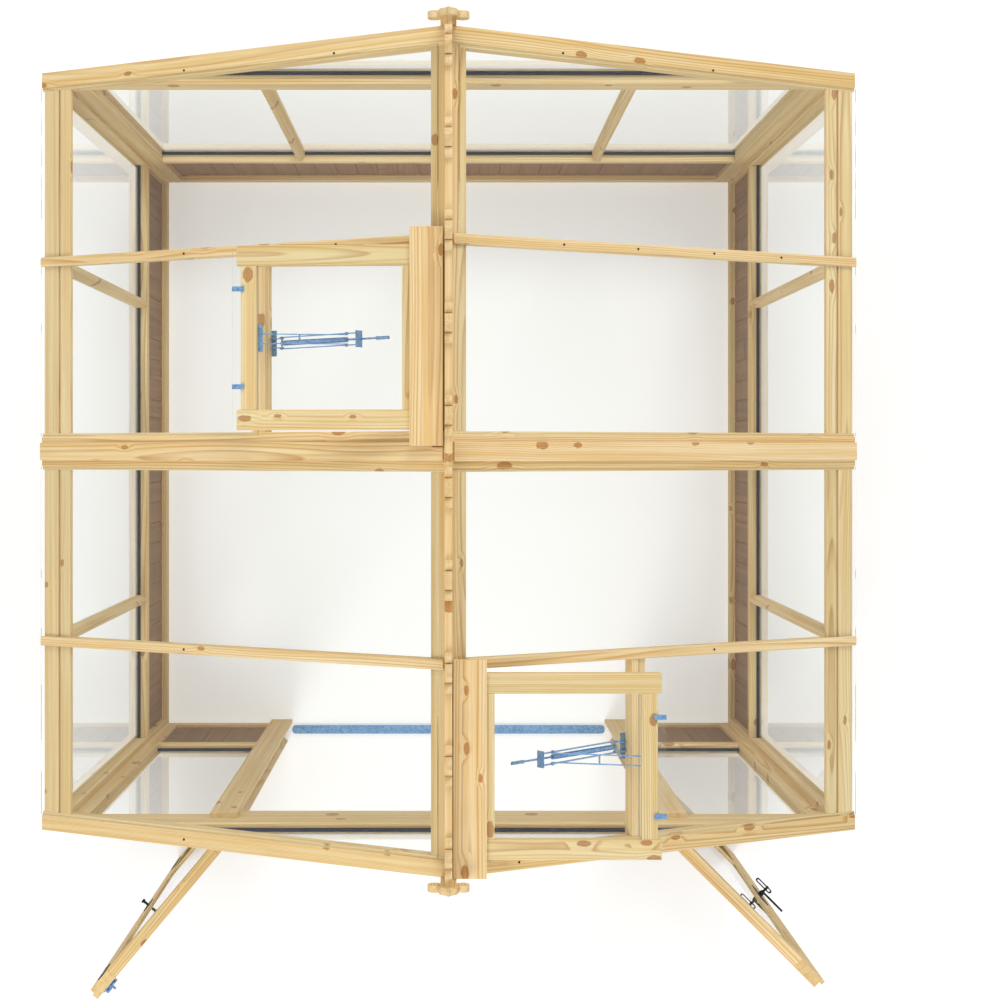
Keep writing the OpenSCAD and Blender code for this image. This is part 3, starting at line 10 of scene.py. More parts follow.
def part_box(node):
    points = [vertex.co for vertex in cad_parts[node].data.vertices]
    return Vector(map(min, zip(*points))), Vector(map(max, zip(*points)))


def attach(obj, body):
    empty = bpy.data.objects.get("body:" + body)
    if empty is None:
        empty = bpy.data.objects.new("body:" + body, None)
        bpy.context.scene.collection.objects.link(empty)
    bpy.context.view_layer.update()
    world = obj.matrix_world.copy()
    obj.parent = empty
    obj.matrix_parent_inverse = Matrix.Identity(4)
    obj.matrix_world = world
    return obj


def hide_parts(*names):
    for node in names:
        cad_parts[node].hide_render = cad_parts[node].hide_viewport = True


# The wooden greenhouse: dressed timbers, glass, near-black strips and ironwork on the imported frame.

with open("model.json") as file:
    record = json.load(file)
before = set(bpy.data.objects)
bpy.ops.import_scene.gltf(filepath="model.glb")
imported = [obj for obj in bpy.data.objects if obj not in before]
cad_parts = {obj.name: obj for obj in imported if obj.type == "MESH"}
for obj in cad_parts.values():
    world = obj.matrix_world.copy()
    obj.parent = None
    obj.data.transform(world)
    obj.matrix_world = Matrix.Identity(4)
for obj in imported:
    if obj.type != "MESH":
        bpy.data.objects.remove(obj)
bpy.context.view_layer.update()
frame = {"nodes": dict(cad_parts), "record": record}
nodes = frame["nodes"]
body_of_node = {n: b for b, names in frame["record"]["behaviour"]["bodies"].items() for n in names}
# The house is centred between the rear and front walls, and the doors reach past it
house_y = sum(v.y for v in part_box("side_plates")) / 2


# Shader helpers
class Shader:
    """A node tree with short calls for the nodes that the finishes use."""

    def __init__(self, tree):
        self.tree = tree
        self.column = 0

    def add(self, kind, **settings):
        node = self.tree.nodes.new(kind)
        self.column += 1
        node.location = (self.column * 180, -(self.column % 5) * 160)
        for key, value in settings.items():
            setattr(node, key, value)
        return node

    def plug(self, value, socket):
        if isinstance(value, bpy.types.NodeSocket):
            self.tree.links.new(value, socket)
        elif value is not None:
            socket.default_value = value

    def math(self, operation, a, b=None):
        node = self.add("ShaderNodeMath", operation=operation)
        for value, socket in zip((a, b), node.inputs):
            self.plug(value, socket)
        return node.outputs[0]

    def vector(self, operation, a, b=None):
        node = self.add("ShaderNodeVectorMath", operation=operation)
        self.plug(a, node.inputs[0])
        self.plug(b, node.inputs[1])
        return node.outputs["Value" if operation == "LENGTH" else "Vector"]

    def split(self, vector):
        node = self.add("ShaderNodeSeparateXYZ")
        self.plug(vector, node.inputs[0])
        return node.outputs

    def join(self, x, y, z):
        node = self.add("ShaderNodeCombineXYZ")
        for value, socket in zip((x, y, z), node.inputs):
            self.plug(value, socket)
        return node.outputs[0]

    def noise(self, vector, scale, detail=3.0, roughness=0.55):
        node = self.add("ShaderNodeTexNoise")
        self.plug(vector, node.inputs["Vector"])
        self.plug(scale, node.inputs["Scale"])
        self.plug(detail, node.inputs["Detail"])
        self.plug(roughness, node.inputs["Roughness"])
        return node.outputs["Fac"]

    def voronoi(self, vector, scale, dimensions="3D"):
        node = self.add("ShaderNodeTexVoronoi", voronoi_dimensions=dimensions)
        self.plug(vector, node.inputs["Vector"])
        self.plug(scale, node.inputs["Scale"])
        return node.outputs

    def span(self, value, low, high, to_low=0.0, to_high=1.0):
        node = self.add("ShaderNodeMapRange", clamp=True)
        for v, socket in zip((value, low, high, to_low, to_high), node.inputs):
            self.plug(v, socket)
        return node.outputs[0]

    def mix(self, factor, a, b, blend="MIX"):
        node = self.add("ShaderNodeMix", data_type="RGBA", blend_type=blend)
        self.plug(factor, node.inputs[0])
        self.plug(a, node.inputs[6])
        self.plug(b, node.inputs[7])
        return node.outputs[2]

    def bump(self, height, strength, distance):
        node = self.add("ShaderNodeBump")
        self.plug(height, node.inputs["Height"])
        self.plug(strength, node.inputs["Strength"])
        self.plug(distance, node.inputs["Distance"])
        return node.outputs[0]


def rgb(hexa):
    """A linear colour from a hexadecimal sRGB one."""
    parts = [int(hexa[i:i + 2], 16) / 255 for i in (1, 3, 5)]
    return tuple(c / 12.92 if c <= 0.04045 else ((c + 0.055) / 1.055) ** 2.4 for c in parts) + (1.0,)


def shader_group(name, inputs, outputs):
    """A shader group with its sockets, and the Shader that fills it."""
    tree = bpy.data.node_groups.new(name, "ShaderNodeTree")
    for label, kind, default in inputs:
        socket = tree.interface.new_socket(label, in_out="INPUT", socket_type=kind)
        if default is not None:
            socket.default_value = default
    for label, kind in outputs:
        tree.interface.new_socket(label, in_out="OUTPUT", socket_type=kind)
    shader = Shader(tree)
    entry = shader.add("NodeGroupInput").outputs
    leave = tree.nodes.new("NodeGroupOutput").inputs
    return tree, shader, entry, leave


def use_group(shader, tree, **values):
    node = shader.add("ShaderNodeGroup", node_tree=tree)
    for label, value in values.items():
        shader.plug(value, node.inputs[label.replace("_", " ")])
    return node.outputs


VEC, NUM, COL = "NodeSocketVector", "NodeSocketFloat", "NodeSocketColor"


def make_fir_figure():
    """Growth rings round a pith, branch knots and fibres of sawn fir, along the X of its coordinates."""
    tree, s, i, o = shader_group(
        "fir_figure",
        [("Grain", VEC, None), ("Ring Width", NUM, 0.007), ("Knot Share", NUM, 0.4),
         ("Knot Size", NUM, 0.008)],
        [("Rings", NUM), ("Streaks", NUM), ("Knots", NUM), ("Knot Rim", NUM), ("Fibre", NUM)],
    )
    grain = i["Grain"]
    parts = s.split(grain)
    pith = (0.07, 0.03)
    across, deep = s.math("ADD", parts[1], pith[0]), s.math("ADD", parts[2], pith[1])
    radius = s.math("SQRT", s.math("ADD", s.math("POWER", across, 2.0), s.math("POWER", deep, 2.0)))
    turn = s.math("ARCTAN2", deep, across)
    # knots are branches that leave the pith sideways and grow thicker outwards
    per_length, per_turn = 4.6, 1.9
    cells = s.join(s.math("MULTIPLY", parts[0], per_length), s.math("MULTIPLY", turn, per_turn), 0.0)
    cell = s.voronoi(cells, 1.0, "2D")
    spot = s.split(cell["Position"])
    along = s.math("SUBTRACT", parts[0], s.math("DIVIDE", spot[0], per_length))
    sideways = s.math("MULTIPLY", s.math("SUBTRACT", turn, s.math("DIVIDE", spot[1], per_turn)), radius)
    knot_stretch, knot_wobble = 0.45, 0.006
    away = s.vector("LENGTH", s.join(s.math("MULTIPLY", along, knot_stretch), sideways, 0.0))
    wobble = s.math("MULTIPLY", s.math("SUBTRACT", s.noise(grain, 90.0, 3.0), 0.5), knot_wobble)
    pick = s.split(cell["Color"])
    grown = s.span(radius, 0.0, 0.09, 0.4, 1.1)
    thick = s.math("MULTIPLY", s.span(pick[0], 0.0, 1.0, 0.45, 1.15), grown)
    here = s.math("LESS_THAN", pick[1], i["Knot Share"])
    near = s.math("DIVIDE", s.math("ADD", away, wobble), s.math("MULTIPLY", thick, i["Knot Size"]))
    knot = s.math("MULTIPLY", s.span(near, 1.1, 0.8), here)
    off_rim = s.math("ABSOLUTE", s.math("SUBTRACT", near, 1.02))
    rim = s.math("MULTIPLY", s.span(off_rim, 0.24, 0.04), here)
    # the rings wander along the trunk and bend round the knots
    ring_bend, ring_sway = 0.0035, 0.03
    bend = s.math("MULTIPLY", s.span(near, 3.4, 0.8), s.math("MULTIPLY", here, ring_bend))
    slow = s.vector("MULTIPLY", grain, (0.8, 4.0, 4.0))
    sway = s.math("MULTIPLY", s.math("SUBTRACT", s.noise(slow, 1.0, 1.0), 0.5), ring_sway)
    grown = s.math("ADD", radius, s.math("ADD", sway, bend))
    phase = s.math("FRACT", s.math("DIVIDE", grown, i["Ring Width"]))
    late = s.math("MULTIPLY", s.span(phase, 0.5, 0.9), s.span(phase, 1.0, 0.93))
    strong = s.noise(s.vector("MULTIPLY", grain, (0.7, 46.0, 46.0)), 1.0, 2.0, 0.5)
    rings = s.math("MULTIPLY", late, s.span(strong, 0.3, 0.6, 0.35, 1.0))
    streaks = s.noise(s.vector("MULTIPLY", grain, (0.9, 55.0, 55.0)), 1.0, 4.0, 0.65)
    fibre = s.noise(s.vector("MULTIPLY", grain, (14.0, 700.0, 700.0)), 1.0, 2.0, 0.6)
    made = {"Rings": rings, "Streaks": streaks, "Knots": knot, "Knot Rim": rim, "Fibre": fibre}
    for label, value in made.items():
        s.plug(value, o[label])
    return tree


def make_wear():
    """Broad and fine patches of wear and dust, from noise on Object coordinates."""
    tree, s, i, o = shader_group(
        "patches", [("Place", VEC, None), ("Size", NUM, 0.2)], [("Soft", NUM), ("Fine", NUM)]
    )
    scale = s.math("DIVIDE", 1.0, i["Size"])
    s.plug(s.noise(i["Place"], scale, 3.0, 0.6), o["Soft"])
    s.plug(s.noise(i["Place"], s.math("MULTIPLY", scale, 18.0), 3.0, 0.7), o["Fine"])
    return tree


fir_figure = make_fir_figure()
patches = make_wear()


def finish(name):
    material = bpy.data.materials.new(name)
    material.use_nodes = True
    material.node_tree.nodes.clear()
    s = Shader(material.node_tree)
    surface = s.add("ShaderNodeBsdfPrincipled")
    output = s.add("ShaderNodeOutputMaterial")
    s.plug(surface.outputs[0], output.inputs[0])
    return material, s, surface, output


BOARD_PITCH, BOARD_WIDTH = 0.09, 0.088


def timber_finish(name, pale, warm, ring, knot, rim, knots, ring_width, in_rows=False):
    """Sawn and planed fir: rings, knots, fibres, a tone for each timber and a painted highlight that
    makes the eased edges paler.
    """
    material, s, surface, _ = finish(name)
    grain = s.add("ShaderNodeAttribute", attribute_name="grain").outputs["Vector"]
    tone = s.add("ShaderNodeAttribute", attribute_name="tone").outputs["Fac"]
    painted_edge_highlight = s.add("ShaderNodeAttribute", attribute_name="painted_edge_highlight").outputs["Fac"]
    if in_rows:
        # each board of a row comes from another plank
        row = s.add("ShaderNodeAttribute", attribute_name="row").outputs["Fac"]
        plank = s.add("ShaderNodeTexWhiteNoise", noise_dimensions="2D")
        s.plug(s.join(s.math("FLOOR", row), s.math("MULTIPLY", tone, 37.0), 0.0), plank.inputs["Vector"])
        within = s.math("MULTIPLY", s.math("SUBTRACT", s.math("FRACT", row), 0.5), BOARD_WIDTH)
        parts = s.split(grain)
        moved = s.vector("SUBTRACT", plank.outputs["Color"], (0.5, 0.5, 0.5))
        moved = s.vector("MULTIPLY", moved, (30.0, 0.09, 0.05))
        grain = s.vector("ADD", s.join(parts[0], within, parts[2]), moved)
        tone = plank.outputs["Value"]
    place = s.add("ShaderNodeTexCoord").outputs["Object"]
    fir = use_group(s, fir_figure, Grain=grain, Knot_Share=knots, Ring_Width=ring_width)
    spots = use_group(s, patches, Place=place, Size=0.5)
    colour = s.mix(s.span(fir["Streaks"], 0.4, 0.62), rgb(pale), rgb(warm))
    colour = s.mix(s.math("MULTIPLY", fir["Rings"], 0.7), colour, rgb(ring))
    colour = s.mix(s.span(fir["Fibre"], 0.3, 0.75, 0.0, 0.16), colour, rgb(ring))
    inner = s.mix(s.span(fir["Fibre"], 0.35, 0.7), rgb(knot), rgb(rim))
    colour = s.mix(s.math("MULTIPLY", fir["Knots"], 0.85), colour, inner)
    colour = s.mix(s.math("MULTIPLY", fir["Knot Rim"], 0.7), colour, rgb(rim))
    # painted highlight: the eased edges are painted paler, as if they caught the light
    colour = s.mix(s.math("MULTIPLY", painted_edge_highlight, 0.45), colour, rgb(pale))
    shade = s.span(tone, 0.0, 1.0, 0.9, 1.04)
    blue = s.math("MULTIPLY", shade, s.span(tone, 0.0, 1.0, 0.93, 1.0))
    colour = s.mix(1.0, colour, s.join(shade, shade, blue), "MULTIPLY")
    dull = s.span(spots["Soft"], 0.3, 0.75, 1.0, 0.94)
    colour = s.mix(1.0, colour, s.join(dull, dull, dull), "MULTIPLY")
    s.plug(colour, surface.inputs["Base Color"])
    rough = s.span(fir["Fibre"], 0.2, 0.8, 0.52, 0.66)
    rough = s.math("ADD", rough, s.math("MULTIPLY", fir["Knots"], -0.12))
    s.plug(s.math("ADD", rough, s.math("MULTIPLY", painted_edge_highlight, 0.08)), surface.inputs["Roughness"])
    height = s.math("ADD", s.math("MULTIPLY", fir["Rings"], 0.6), s.math("MULTIPLY", fir["Fibre"], 0.5))
    height = s.math("SUBTRACT", height, s.math("MULTIPLY", fir["Knot Rim"], 0.6))
    s.plug(s.bump(height, 0.35, 0.0004), surface.inputs["Normal"])
    surface.inputs["Specular IOR Level"].default_value = 0.28
    return material


def glass_finish(name):
    """Clear horticultural glass with a faint film of rain marks."""
    material, s, surface, output = finish(name)
    surface.inputs["Base Color"].default_value = (0.975, 0.992, 0.988, 1.0)
    surface.inputs["Metallic"].default_value = 0.0
    surface.inputs["Transmission Weight"].default_value = 1.0
    surface.inputs["IOR"].default_value = 1.34
    place = s.add("ShaderNodeTexCoord").outputs["Object"]
    film = use_group(s, patches, Place=place, Size=0.35)
    s.plug(s.span(film["Soft"], 0.5, 0.85, 0.0, 0.02), surface.inputs["Roughness"])
    # daylight passes through the panes, so they cast no dark shadow
    rays = s.add("ShaderNodeLightPath").outputs
    clear = s.add("ShaderNodeBsdfTransparent")
    clear.inputs[0].default_value = (0.97, 0.985, 0.98, 1.0)
    pick = s.add("ShaderNodeMixShader")
    soft = s.math("MAXIMUM", rays["Is Shadow Ray"], rays["Is Diffuse Ray"])
    s.plug(soft, pick.inputs[0])
    s.plug(surface.outputs[0], pick.inputs[1])
    s.plug(clear.outputs[0], pick.inputs[2])
    s.plug(pick.outputs[0], output.inputs[0])
    return material


# near-black strips along the panes, with fine patches of noise in their colour
def near_black_strip_finish(name):
    material, s, surface, _ = finish(name)
    place = s.add("ShaderNodeTexCoord").outputs["Object"]
    worn = use_group(s, patches, Place=place, Size=0.12)
    colour = s.mix(s.span(worn["Fine"], 0.35, 0.75), rgb("#0a0d1c"), rgb("#181c2e"))
    s.plug(colour, surface.inputs["Base Color"])
    s.plug(s.span(worn["Soft"], 0.3, 0.7, 0.5, 0.72), surface.inputs["Roughness"])
    s.plug(s.bump(worn["Fine"], 0.2, 0.0003), surface.inputs["Normal"])
    surface.inputs["Specular IOR Level"].default_value = 0.3
    return material


def zinc_finish(name, pale, dark):
    material, s, surface, _ = finish(name)
    place = s.add("ShaderNodeTexCoord").outputs["Object"]
    spangle = s.split(s.voronoi(place, 160.0)["Color"])[0]
    worn = use_group(s, patches, Place=place, Size=0.05)
    bright = s.math("ADD", s.math("MULTIPLY", spangle, 0.55), s.math("MULTIPLY", worn["Soft"], 0.45))
    s.plug(s.mix(bright, rgb(dark), rgb(pale)), surface.inputs["Base Color"])
    surface.inputs["Metallic"].default_value = 0.9
    s.plug(s.span(s.math("ADD", spangle, worn["Fine"]), 0.3, 1.6, 0.28, 0.5), surface.inputs["Roughness"])
    s.plug(s.bump(spangle, 0.08, 0.0002), surface.inputs["Normal"])
    return material


def iron_finish(name):
    material, s, surface, _ = finish(name)
    place = s.add("ShaderNodeTexCoord").outputs["Object"]
    worn = use_group(s, patches, Place=place, Size=0.03)
    colour = s.mix(s.span(worn["Fine"], 0.4, 0.8), rgb("#121214"), rgb("#2b2b2e"))
    s.plug(colour, surface.inputs["Base Color"])
    s.plug(s.span(worn["Soft"], 0.3, 0.7, 0.34, 0.5), surface.inputs["Roughness"])
    s.plug(s.bump(worn["Fine"], 0.15, 0.0003), surface.inputs["Normal"])
    surface.inputs["Metallic"].default_value = 0.3
    return material


frame_fir = timber_finish(
    "planed_fir", "#f8e1b0", "#edc988", "#be8746", "#cb8c42", "#a0622a", 0.24, 0.0038
)
# the boarding is browner fir than the frame, and painted shade darkens its colours further, for the shade
# that falls on the boards inside the walls
board_fir_with_painted_shade = timber_finish(
    "boarding_fir_painted_shade", "#a88051", "#8e6639", "#684323", "#74451f", "#522d15", 0.3, 0.006, in_rows=True
)
roof_fir = timber_finish(
    "roof_fir", "#fae5b9", "#efcc90", "#c28b49", "#cd9046", "#a5672c", 0.24, 0.0038
)
pane_glass = glass_finish("clear_glass")
near_black_strip = near_black_strip_finish("near_black_strip")
zinc = zinc_finish("galvanised_steel", "#9cc4ea", "#4679ae")
black_iron = iron_finish("black_iron")
slot_finish = {
    "frame_timber": frame_fir, "board_timber": board_fir_with_painted_shade, "weather_timber": roof_fir,
    "glass": pane_glass, "seal": near_black_strip, "zinc": zinc, "black_iron": black_iron,
}
slot_of = {p["node"]: p["material_slot"] for p in frame["record"]["subparts"]}


# Timbers
def islands(mesh):
    """The separate solids of a bmesh, as lists of vertices, in a fixed order."""
    seen, found = set(), []
    for start in mesh.verts:
        if start.index in seen:
            continue
        seen.add(start.index)
        stack, part = [start], []
        while stack:
            v = stack.pop()
            part.append(v)
            for e in v.link_edges:
                w = e.other_vert(v)
                if w.index not in seen:
                    seen.add(w.index)
                    stack.append(w)
        found.append(part)
    found.sort(key=lambda vs: tuple(round(sum(v.co[k] for v in vs) / len(vs), 4) for k in range(3)))
    return found


def lay_in_row(part, layer):
    """Numbers the boards of an upright row along its length, and returns the row's direction."""
    a = min(part, key=lambda v: (round(v.co.x + 0.01 * v.co.y, 4), v.co.z)).co
    b = max(part, key=lambda v: ((v.co - a).xy.length, v.co.z)).co
    way = Vector((b.x - a.x, b.y - a.y, 0.0)).normalized()
    reach = [v.co.dot(way) for v in part]
    low, width = min(reach), max(reach) - min(reach)
    count = max(1, round(width / BOARD_PITCH))
    for v, r in zip(part, reach):
        v[layer] = (r - low) / width * count
    return way


def middle_of(edge):
    return (edge.verts[0].co + edge.verts[1].co) / 2


def grow_along(part, layers, draw, upright_row):
    """Lays a timber's grain along its longest edge, from a trunk of its own."""
    edges = [e for v in part for e in v.link_edges]
    longest = max(edges, key=lambda e: (round(e.calc_length(), 4), *(round(c, 4) for c in middle_of(e))))
    along = (longest.verts[1].co - longest.verts[0].co).normalized()
    if max(along, key=lambda c: round(abs(c), 4)) < 0:
        along.negate()
    side = Vector((0, 0, 1)) if abs(along.z) < 0.7 else Vector((1, 0, 0))
    if upright_row:
        along, side = Vector((0, 0, 1)), lay_in_row(part, layers["row"])
    side = (side - along * side.dot(along)).normalized()
    if not upright_row:
        side = Matrix.Rotation(draw.uniform(-0.5, 0.5), 3, along) @ side
    third = along.cross(side)
    centre = sum((v.co for v in part), Vector()) / len(part)
    shift = Vector((draw.uniform(-40, 40), draw.uniform(-0.04, 0.04), draw.uniform(-0.02, 0.05)))
    level = draw.random()
    for v in part:
        p = v.co - centre
        v[layers["grain"]] = Vector((p.dot(along), p.dot(side), p.dot(third))) + shift
        v[layers["tone"]] = level


SEAT_PLAY = 0.0001
GRAIN_SEED = 1


def timber(node, edge):
    """The node's timbers with eased edges marked for a painted highlight, each with its own grain along
    its length.
    """
    slot = slot_of[node]
    mesh = bmesh.new()
    mesh.from_mesh(nodes[node].data)
    bmesh.ops.remove_doubles(mesh, verts=mesh.verts, dist=1e-5)
    bmesh.ops.dissolve_limit(mesh, angle_limit=math.radians(0.4), verts=mesh.verts, edges=mesh.edges)
    sharp = [e for e in mesh.edges if e.calc_face_angle(0.0) > math.radians(30)]
    # the bevel faces are marked for the painted highlight that makes the eased edges paler
    painted_edge_highlight = mesh.loops.layers.float.new("painted_edge_highlight")
    eased = bmesh.ops.bevel(
        mesh, geom=sharp, offset=edge, offset_type="OFFSET", segments=2, profile=0.5,
        affect="EDGES", clamp_overlap=True, loop_slide=True,
    )
    for face in eased["faces"]:
        for corner in face.loops:
            corner[painted_edge_highlight] = 1.0
    # a hair of play keeps timbers and panes that touch from sharing a surface
    mesh.normal_update()
    for v in mesh.verts:
        v.co -= v.normal * SEAT_PLAY
    mesh.verts.index_update()
    for label in ("tone", "row"):
        mesh.verts.layers.float.new(label)
    layers = {"grain": mesh.verts.layers.float_vector.new("grain")}
    layers.update({label: mesh.verts.layers.float[label] for label in ("tone", "row")})
    draw = random.Random(f"{node}-{GRAIN_SEED}")
    for part in islands(mesh):
        grow_along(part, layers, draw, slot == "board_timber")
    data = bpy.data.meshes.new("timber_" + node)
    mesh.to_mesh(data)
    mesh.free()
    data.materials.append(slot_finish[slot])
    piece = bpy.data.objects.new("timber_" + node, data)
    bpy.context.scene.collection.objects.link(piece)
    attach(piece, body_of_node[node])
    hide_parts(node)


EASED_EDGE, EASED_BOARD_EDGE = 0.0015, 0.0008
for name in sorted(nodes):
    if slot_of[name].endswith("_timber"):
        timber(name, EASED_BOARD_EDGE if "board" in name and "head" not in name else EASED_EDGE)
    else:
        nodes[name].data.materials.clear()
        nodes[name].data.materials.append(slot_finish[slot_of[name]])


# Screws and nails
PITCH = math.radians(25.0)
# the rafters stop at the ridge board's faces, and their tops would meet a little higher
RIDGE_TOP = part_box("barge_rafters")[1].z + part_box("ridge_board")[1].x * math.tan(PITCH)
OPEN = {"left_door": 130.0, "right_door": 135.0, "left_vent": 21.3, "right_vent": 25.0}
# Hinge axes: down the slope and out of it, and across and out from the middle of the house
VENT_AXIS = (0.060, -0.0015)
LEAF_AXIS = (0.738, 1.249)
STRAP_T, PLATE_T = 0.0016, 0.003


def make_fixing_heads():
    """Domed heads with a crossed recess on the points of a mesh, each facing its point's way out."""
    tree = bpy.data.node_groups.new("fixing_heads", "GeometryNodeTree")
    for label, kind, default in (
        ("Points", "NodeSocketGeometry", None), ("Head Diameter", NUM, 0.008), ("Dome", NUM, 0.4),
        ("Recess Width", NUM, 0.24), ("Recess Depth", NUM, 0.5), ("Sides", "NodeSocketInt", 12),
        ("Rings", "NodeSocketInt", 6), ("Finish", "NodeSocketMaterial", None),
    ):
        socket = tree.interface.new_socket(label, in_out="INPUT", socket_type=kind)
        if default is not None:
            socket.default_value = default
    tree.interface.new_socket("Heads", in_out="OUTPUT", socket_type="NodeSocketGeometry")
    s = Shader(tree)
    i, o = s.add("NodeGroupInput").outputs, s.add("NodeGroupOutput").inputs

    def placed(shape, move=None, scale=None):
        node = s.add("GeometryNodeTransform")
        s.plug(shape, node.inputs["Geometry"])
        s.plug(move, node.inputs["Translation"])
        s.plug(scale, node.inputs["Scale"])
        return node.outputs[0]

    ball = s.add("GeometryNodeMeshUVSphere")
    s.plug(i["Sides"], ball.inputs["Segments"])
    s.plug(i["Rings"], ball.inputs["Rings"])
    ball.inputs["Radius"].default_value = 1.0
    dome = placed(ball.outputs[0], scale=s.join(1.0, 1.0, i["Dome"]))
    cross = s.add("GeometryNodeMeshBoolean", operation="DIFFERENCE", solver="EXACT")
    s.plug(dome, cross.inputs["Mesh 1"])
    for size in (s.join(1.1, i["Recess Width"], 1.0), s.join(i["Recess Width"], 1.1, 1.0)):
        arm = s.add("GeometryNodeMeshCube")
        s.plug(size, arm.inputs["Size"])
        depth = s.math("MULTIPLY", i["Dome"], i["Recess Depth"])
        lift = s.math("ADD", s.math("SUBTRACT", 0.5, depth), i["Dome"])
        s.plug(placed(arm.outputs[0], move=s.join(0.0, 0.0, lift)), cross.inputs["Mesh 2"])
    face_out = s.add("FunctionNodeAlignRotationToVector", axis="Z")
    way_out = s.add("GeometryNodeInputNamedAttribute", data_type="FLOAT_VECTOR")
    way_out.inputs["Name"].default_value = "way_out"
    s.plug(way_out.outputs["Attribute"], face_out.inputs["Vector"])
    put = s.add("GeometryNodeInstanceOnPoints")
    s.plug(i["Points"], put.inputs["Points"])
    s.plug(cross.outputs["Mesh"], put.inputs["Instance"])
    s.plug(face_out.outputs[0], put.inputs["Rotation"])
    radius = s.math("MULTIPLY", i["Head Diameter"], 0.5)
    s.plug(s.join(radius, radius, radius), put.inputs["Scale"])
    real = s.add("GeometryNodeRealizeInstances")
    s.plug(put.outputs[0], real.inputs[0])
    coat = s.add("GeometryNodeSetMaterial")
    s.plug(real.outputs[0], coat.inputs["Geometry"])
    s.plug(i["Finish"], coat.inputs["Material"])
    s.plug(coat.outputs[0], o[0])
    return tree


def fixing_heads(name, body, slot, spots, diameter, dome=0.4, recess=0.5, sides=12, rings=6):
    """One mesh of heads for a body, from (point, way out) pairs in metres."""
    seeds = bpy.data.meshes.new(name)
    seeds.from_pydata([p for p, _ in spots], [], [])
    way_out = seeds.attributes.new("way_out", "FLOAT_VECTOR", "POINT")
    for k, (_, out) in enumerate(spots):
        way_out.data[k].vector = Vector(out).normalized()
    maker = bpy.data.objects.new(name + "_maker", seeds)
    bpy.context.scene.collection.objects.link(maker)
    modifier = maker.modifiers.new("fixing_heads", "NODES")
    modifier.node_group = fixing_tree
    values = {"Head Diameter": diameter, "Dome": dome, "Recess Depth": recess,
              "Sides": sides, "Rings": rings, "Finish": slot_finish[slot]}
    for item in fixing_tree.interface.items_tree:
        if item.item_type == "SOCKET" and item.in_out == "INPUT" and item.name in values:
            modifier[item.identifier] = values[item.name]
    graph = bpy.context.evaluated_depsgraph_get()
    data = bpy.data.meshes.new_from_object(maker.evaluated_get(graph))
    bpy.data.objects.remove(maker)
    data.name = name
    piece = bpy.data.objects.new(name, data)
    bpy.context.scene.collection.objects.link(piece)
    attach(piece, body)


def on_slope(side, end, u, y, n):
    """A point of the roof: down the slope, along the ridge and square to the slope."""
    x = side * (u * math.cos(PITCH) + n * math.sin(PITCH))
    return Vector((x, house_y + end * y, RIDGE_TOP - u * math.sin(PITCH) + n * math.cos(PITCH)))


def on_sash(vent, u, y, n):
    """A point of a vent's sash, turned open about its hinges."""
    a = math.radians(OPEN[vent])
    du, dn = u - VENT_AXIS[0], n - VENT_AXIS[1]
    side, end = (-1, 1) if vent == "left_vent" else (1, -1)
    down = VENT_AXIS[0] + du * math.cos(a) - dn * math.sin(a)
    out = VENT_AXIS[1] + du * math.sin(a) + dn * math.cos(a)
    return on_slope(side, end, down, y, out)


def on_leaf(door, a, b, z):
    """A point of a door leaf: from its hinge axis to the tip, from the axis to the room, and up."""
    t = math.radians(OPEN[door])
    side = -1 if door == "left_door" else 1
    x = LEAF_AXIS[0] - a * math.cos(t) - b * math.sin(t)
    return Vector((side * x, house_y - LEAF_AXIS[1] - a * math.sin(t) + b * math.cos(t), z))


def pair(place, where, u, v, w, out):
    """A head's point and its way out, both through the same placing function."""
    here = place(where, u, v, w)
    return here, place(where, u + out[0], v + out[1], w + out[2]) - here


def door_screws():
    """Screws of the straps, bolts, handle and keep plates, jamb hinges and threshold."""
    hinge_z = (0.168, 0.912, 1.656)
    strap_holes = ((0.017, -0.028), (0.030, 0.0), (0.017, 0.028))
    jamb_holes = ((0.751, -0.028), (0.763, 0.0), (0.751, 0.028))
    bolt_holes = [(a, z) for low, high in ((0.040, 0.138), (1.686, 1.784)) for a in (0.683, 0.705)
                  for z in (low, high)]
    plate_middle = 0.676
    plate_holes = (0.869, 0.931, 0.172, 0.287, 1.694, 1.779)
    handle_z, handle_hole = 0.9, 0.088
    front, back = 0.004, 0.042
    for door in ("left_door", "right_door"):
        spots = [pair(on_leaf, door, a, front - STRAP_T, z + dz, (0, -1, 0))
                 for z in hinge_z for a, dz in strap_holes]
        if door == "left_door":
            spots += [pair(on_leaf, door, a, back + PLATE_T, z, (0, 1, 0)) for a, z in bolt_holes]
        fixing_heads(door + "_screws", door, "zinc", spots, 0.0085)
    handle = [pair(on_leaf, "right_door", plate_middle, face, handle_z + dz, (0, way, 0))
              for face, way in ((front - PLATE_T, -1), (back + PLATE_T, 1))
              for dz in (-handle_hole, handle_hole)]
    fixing_heads("right_door_plate_screws", "right_door", "black_iron", handle, 0.008)
    plates = [pair(on_leaf, "left_door", plate_middle, front - PLATE_T, z, (0, -1, 0))
              for z in plate_holes]
    fixing_heads("left_door_plate_screws", "left_door", "black_iron", plates, 0.008)
    jamb_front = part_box("door_jambs")[0].y
    jambs = [(Vector((side * x, jamb_front - STRAP_T, z + dz)), Vector((0, -1, 0)))
             for side in (-1, 1) for z in hinge_z for x, dz in jamb_holes]
    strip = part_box("threshold_strip")
    first, step, inset = -0.62, 0.31, 0.018
    jambs += [(Vector((first + step * k, strip[0].y + inset, strip[1].z)), Vector((0, 0, 1)))
              for k in range(5)]
    fixing_heads("frame_screws", "root", "zinc", jambs, 0.0085)


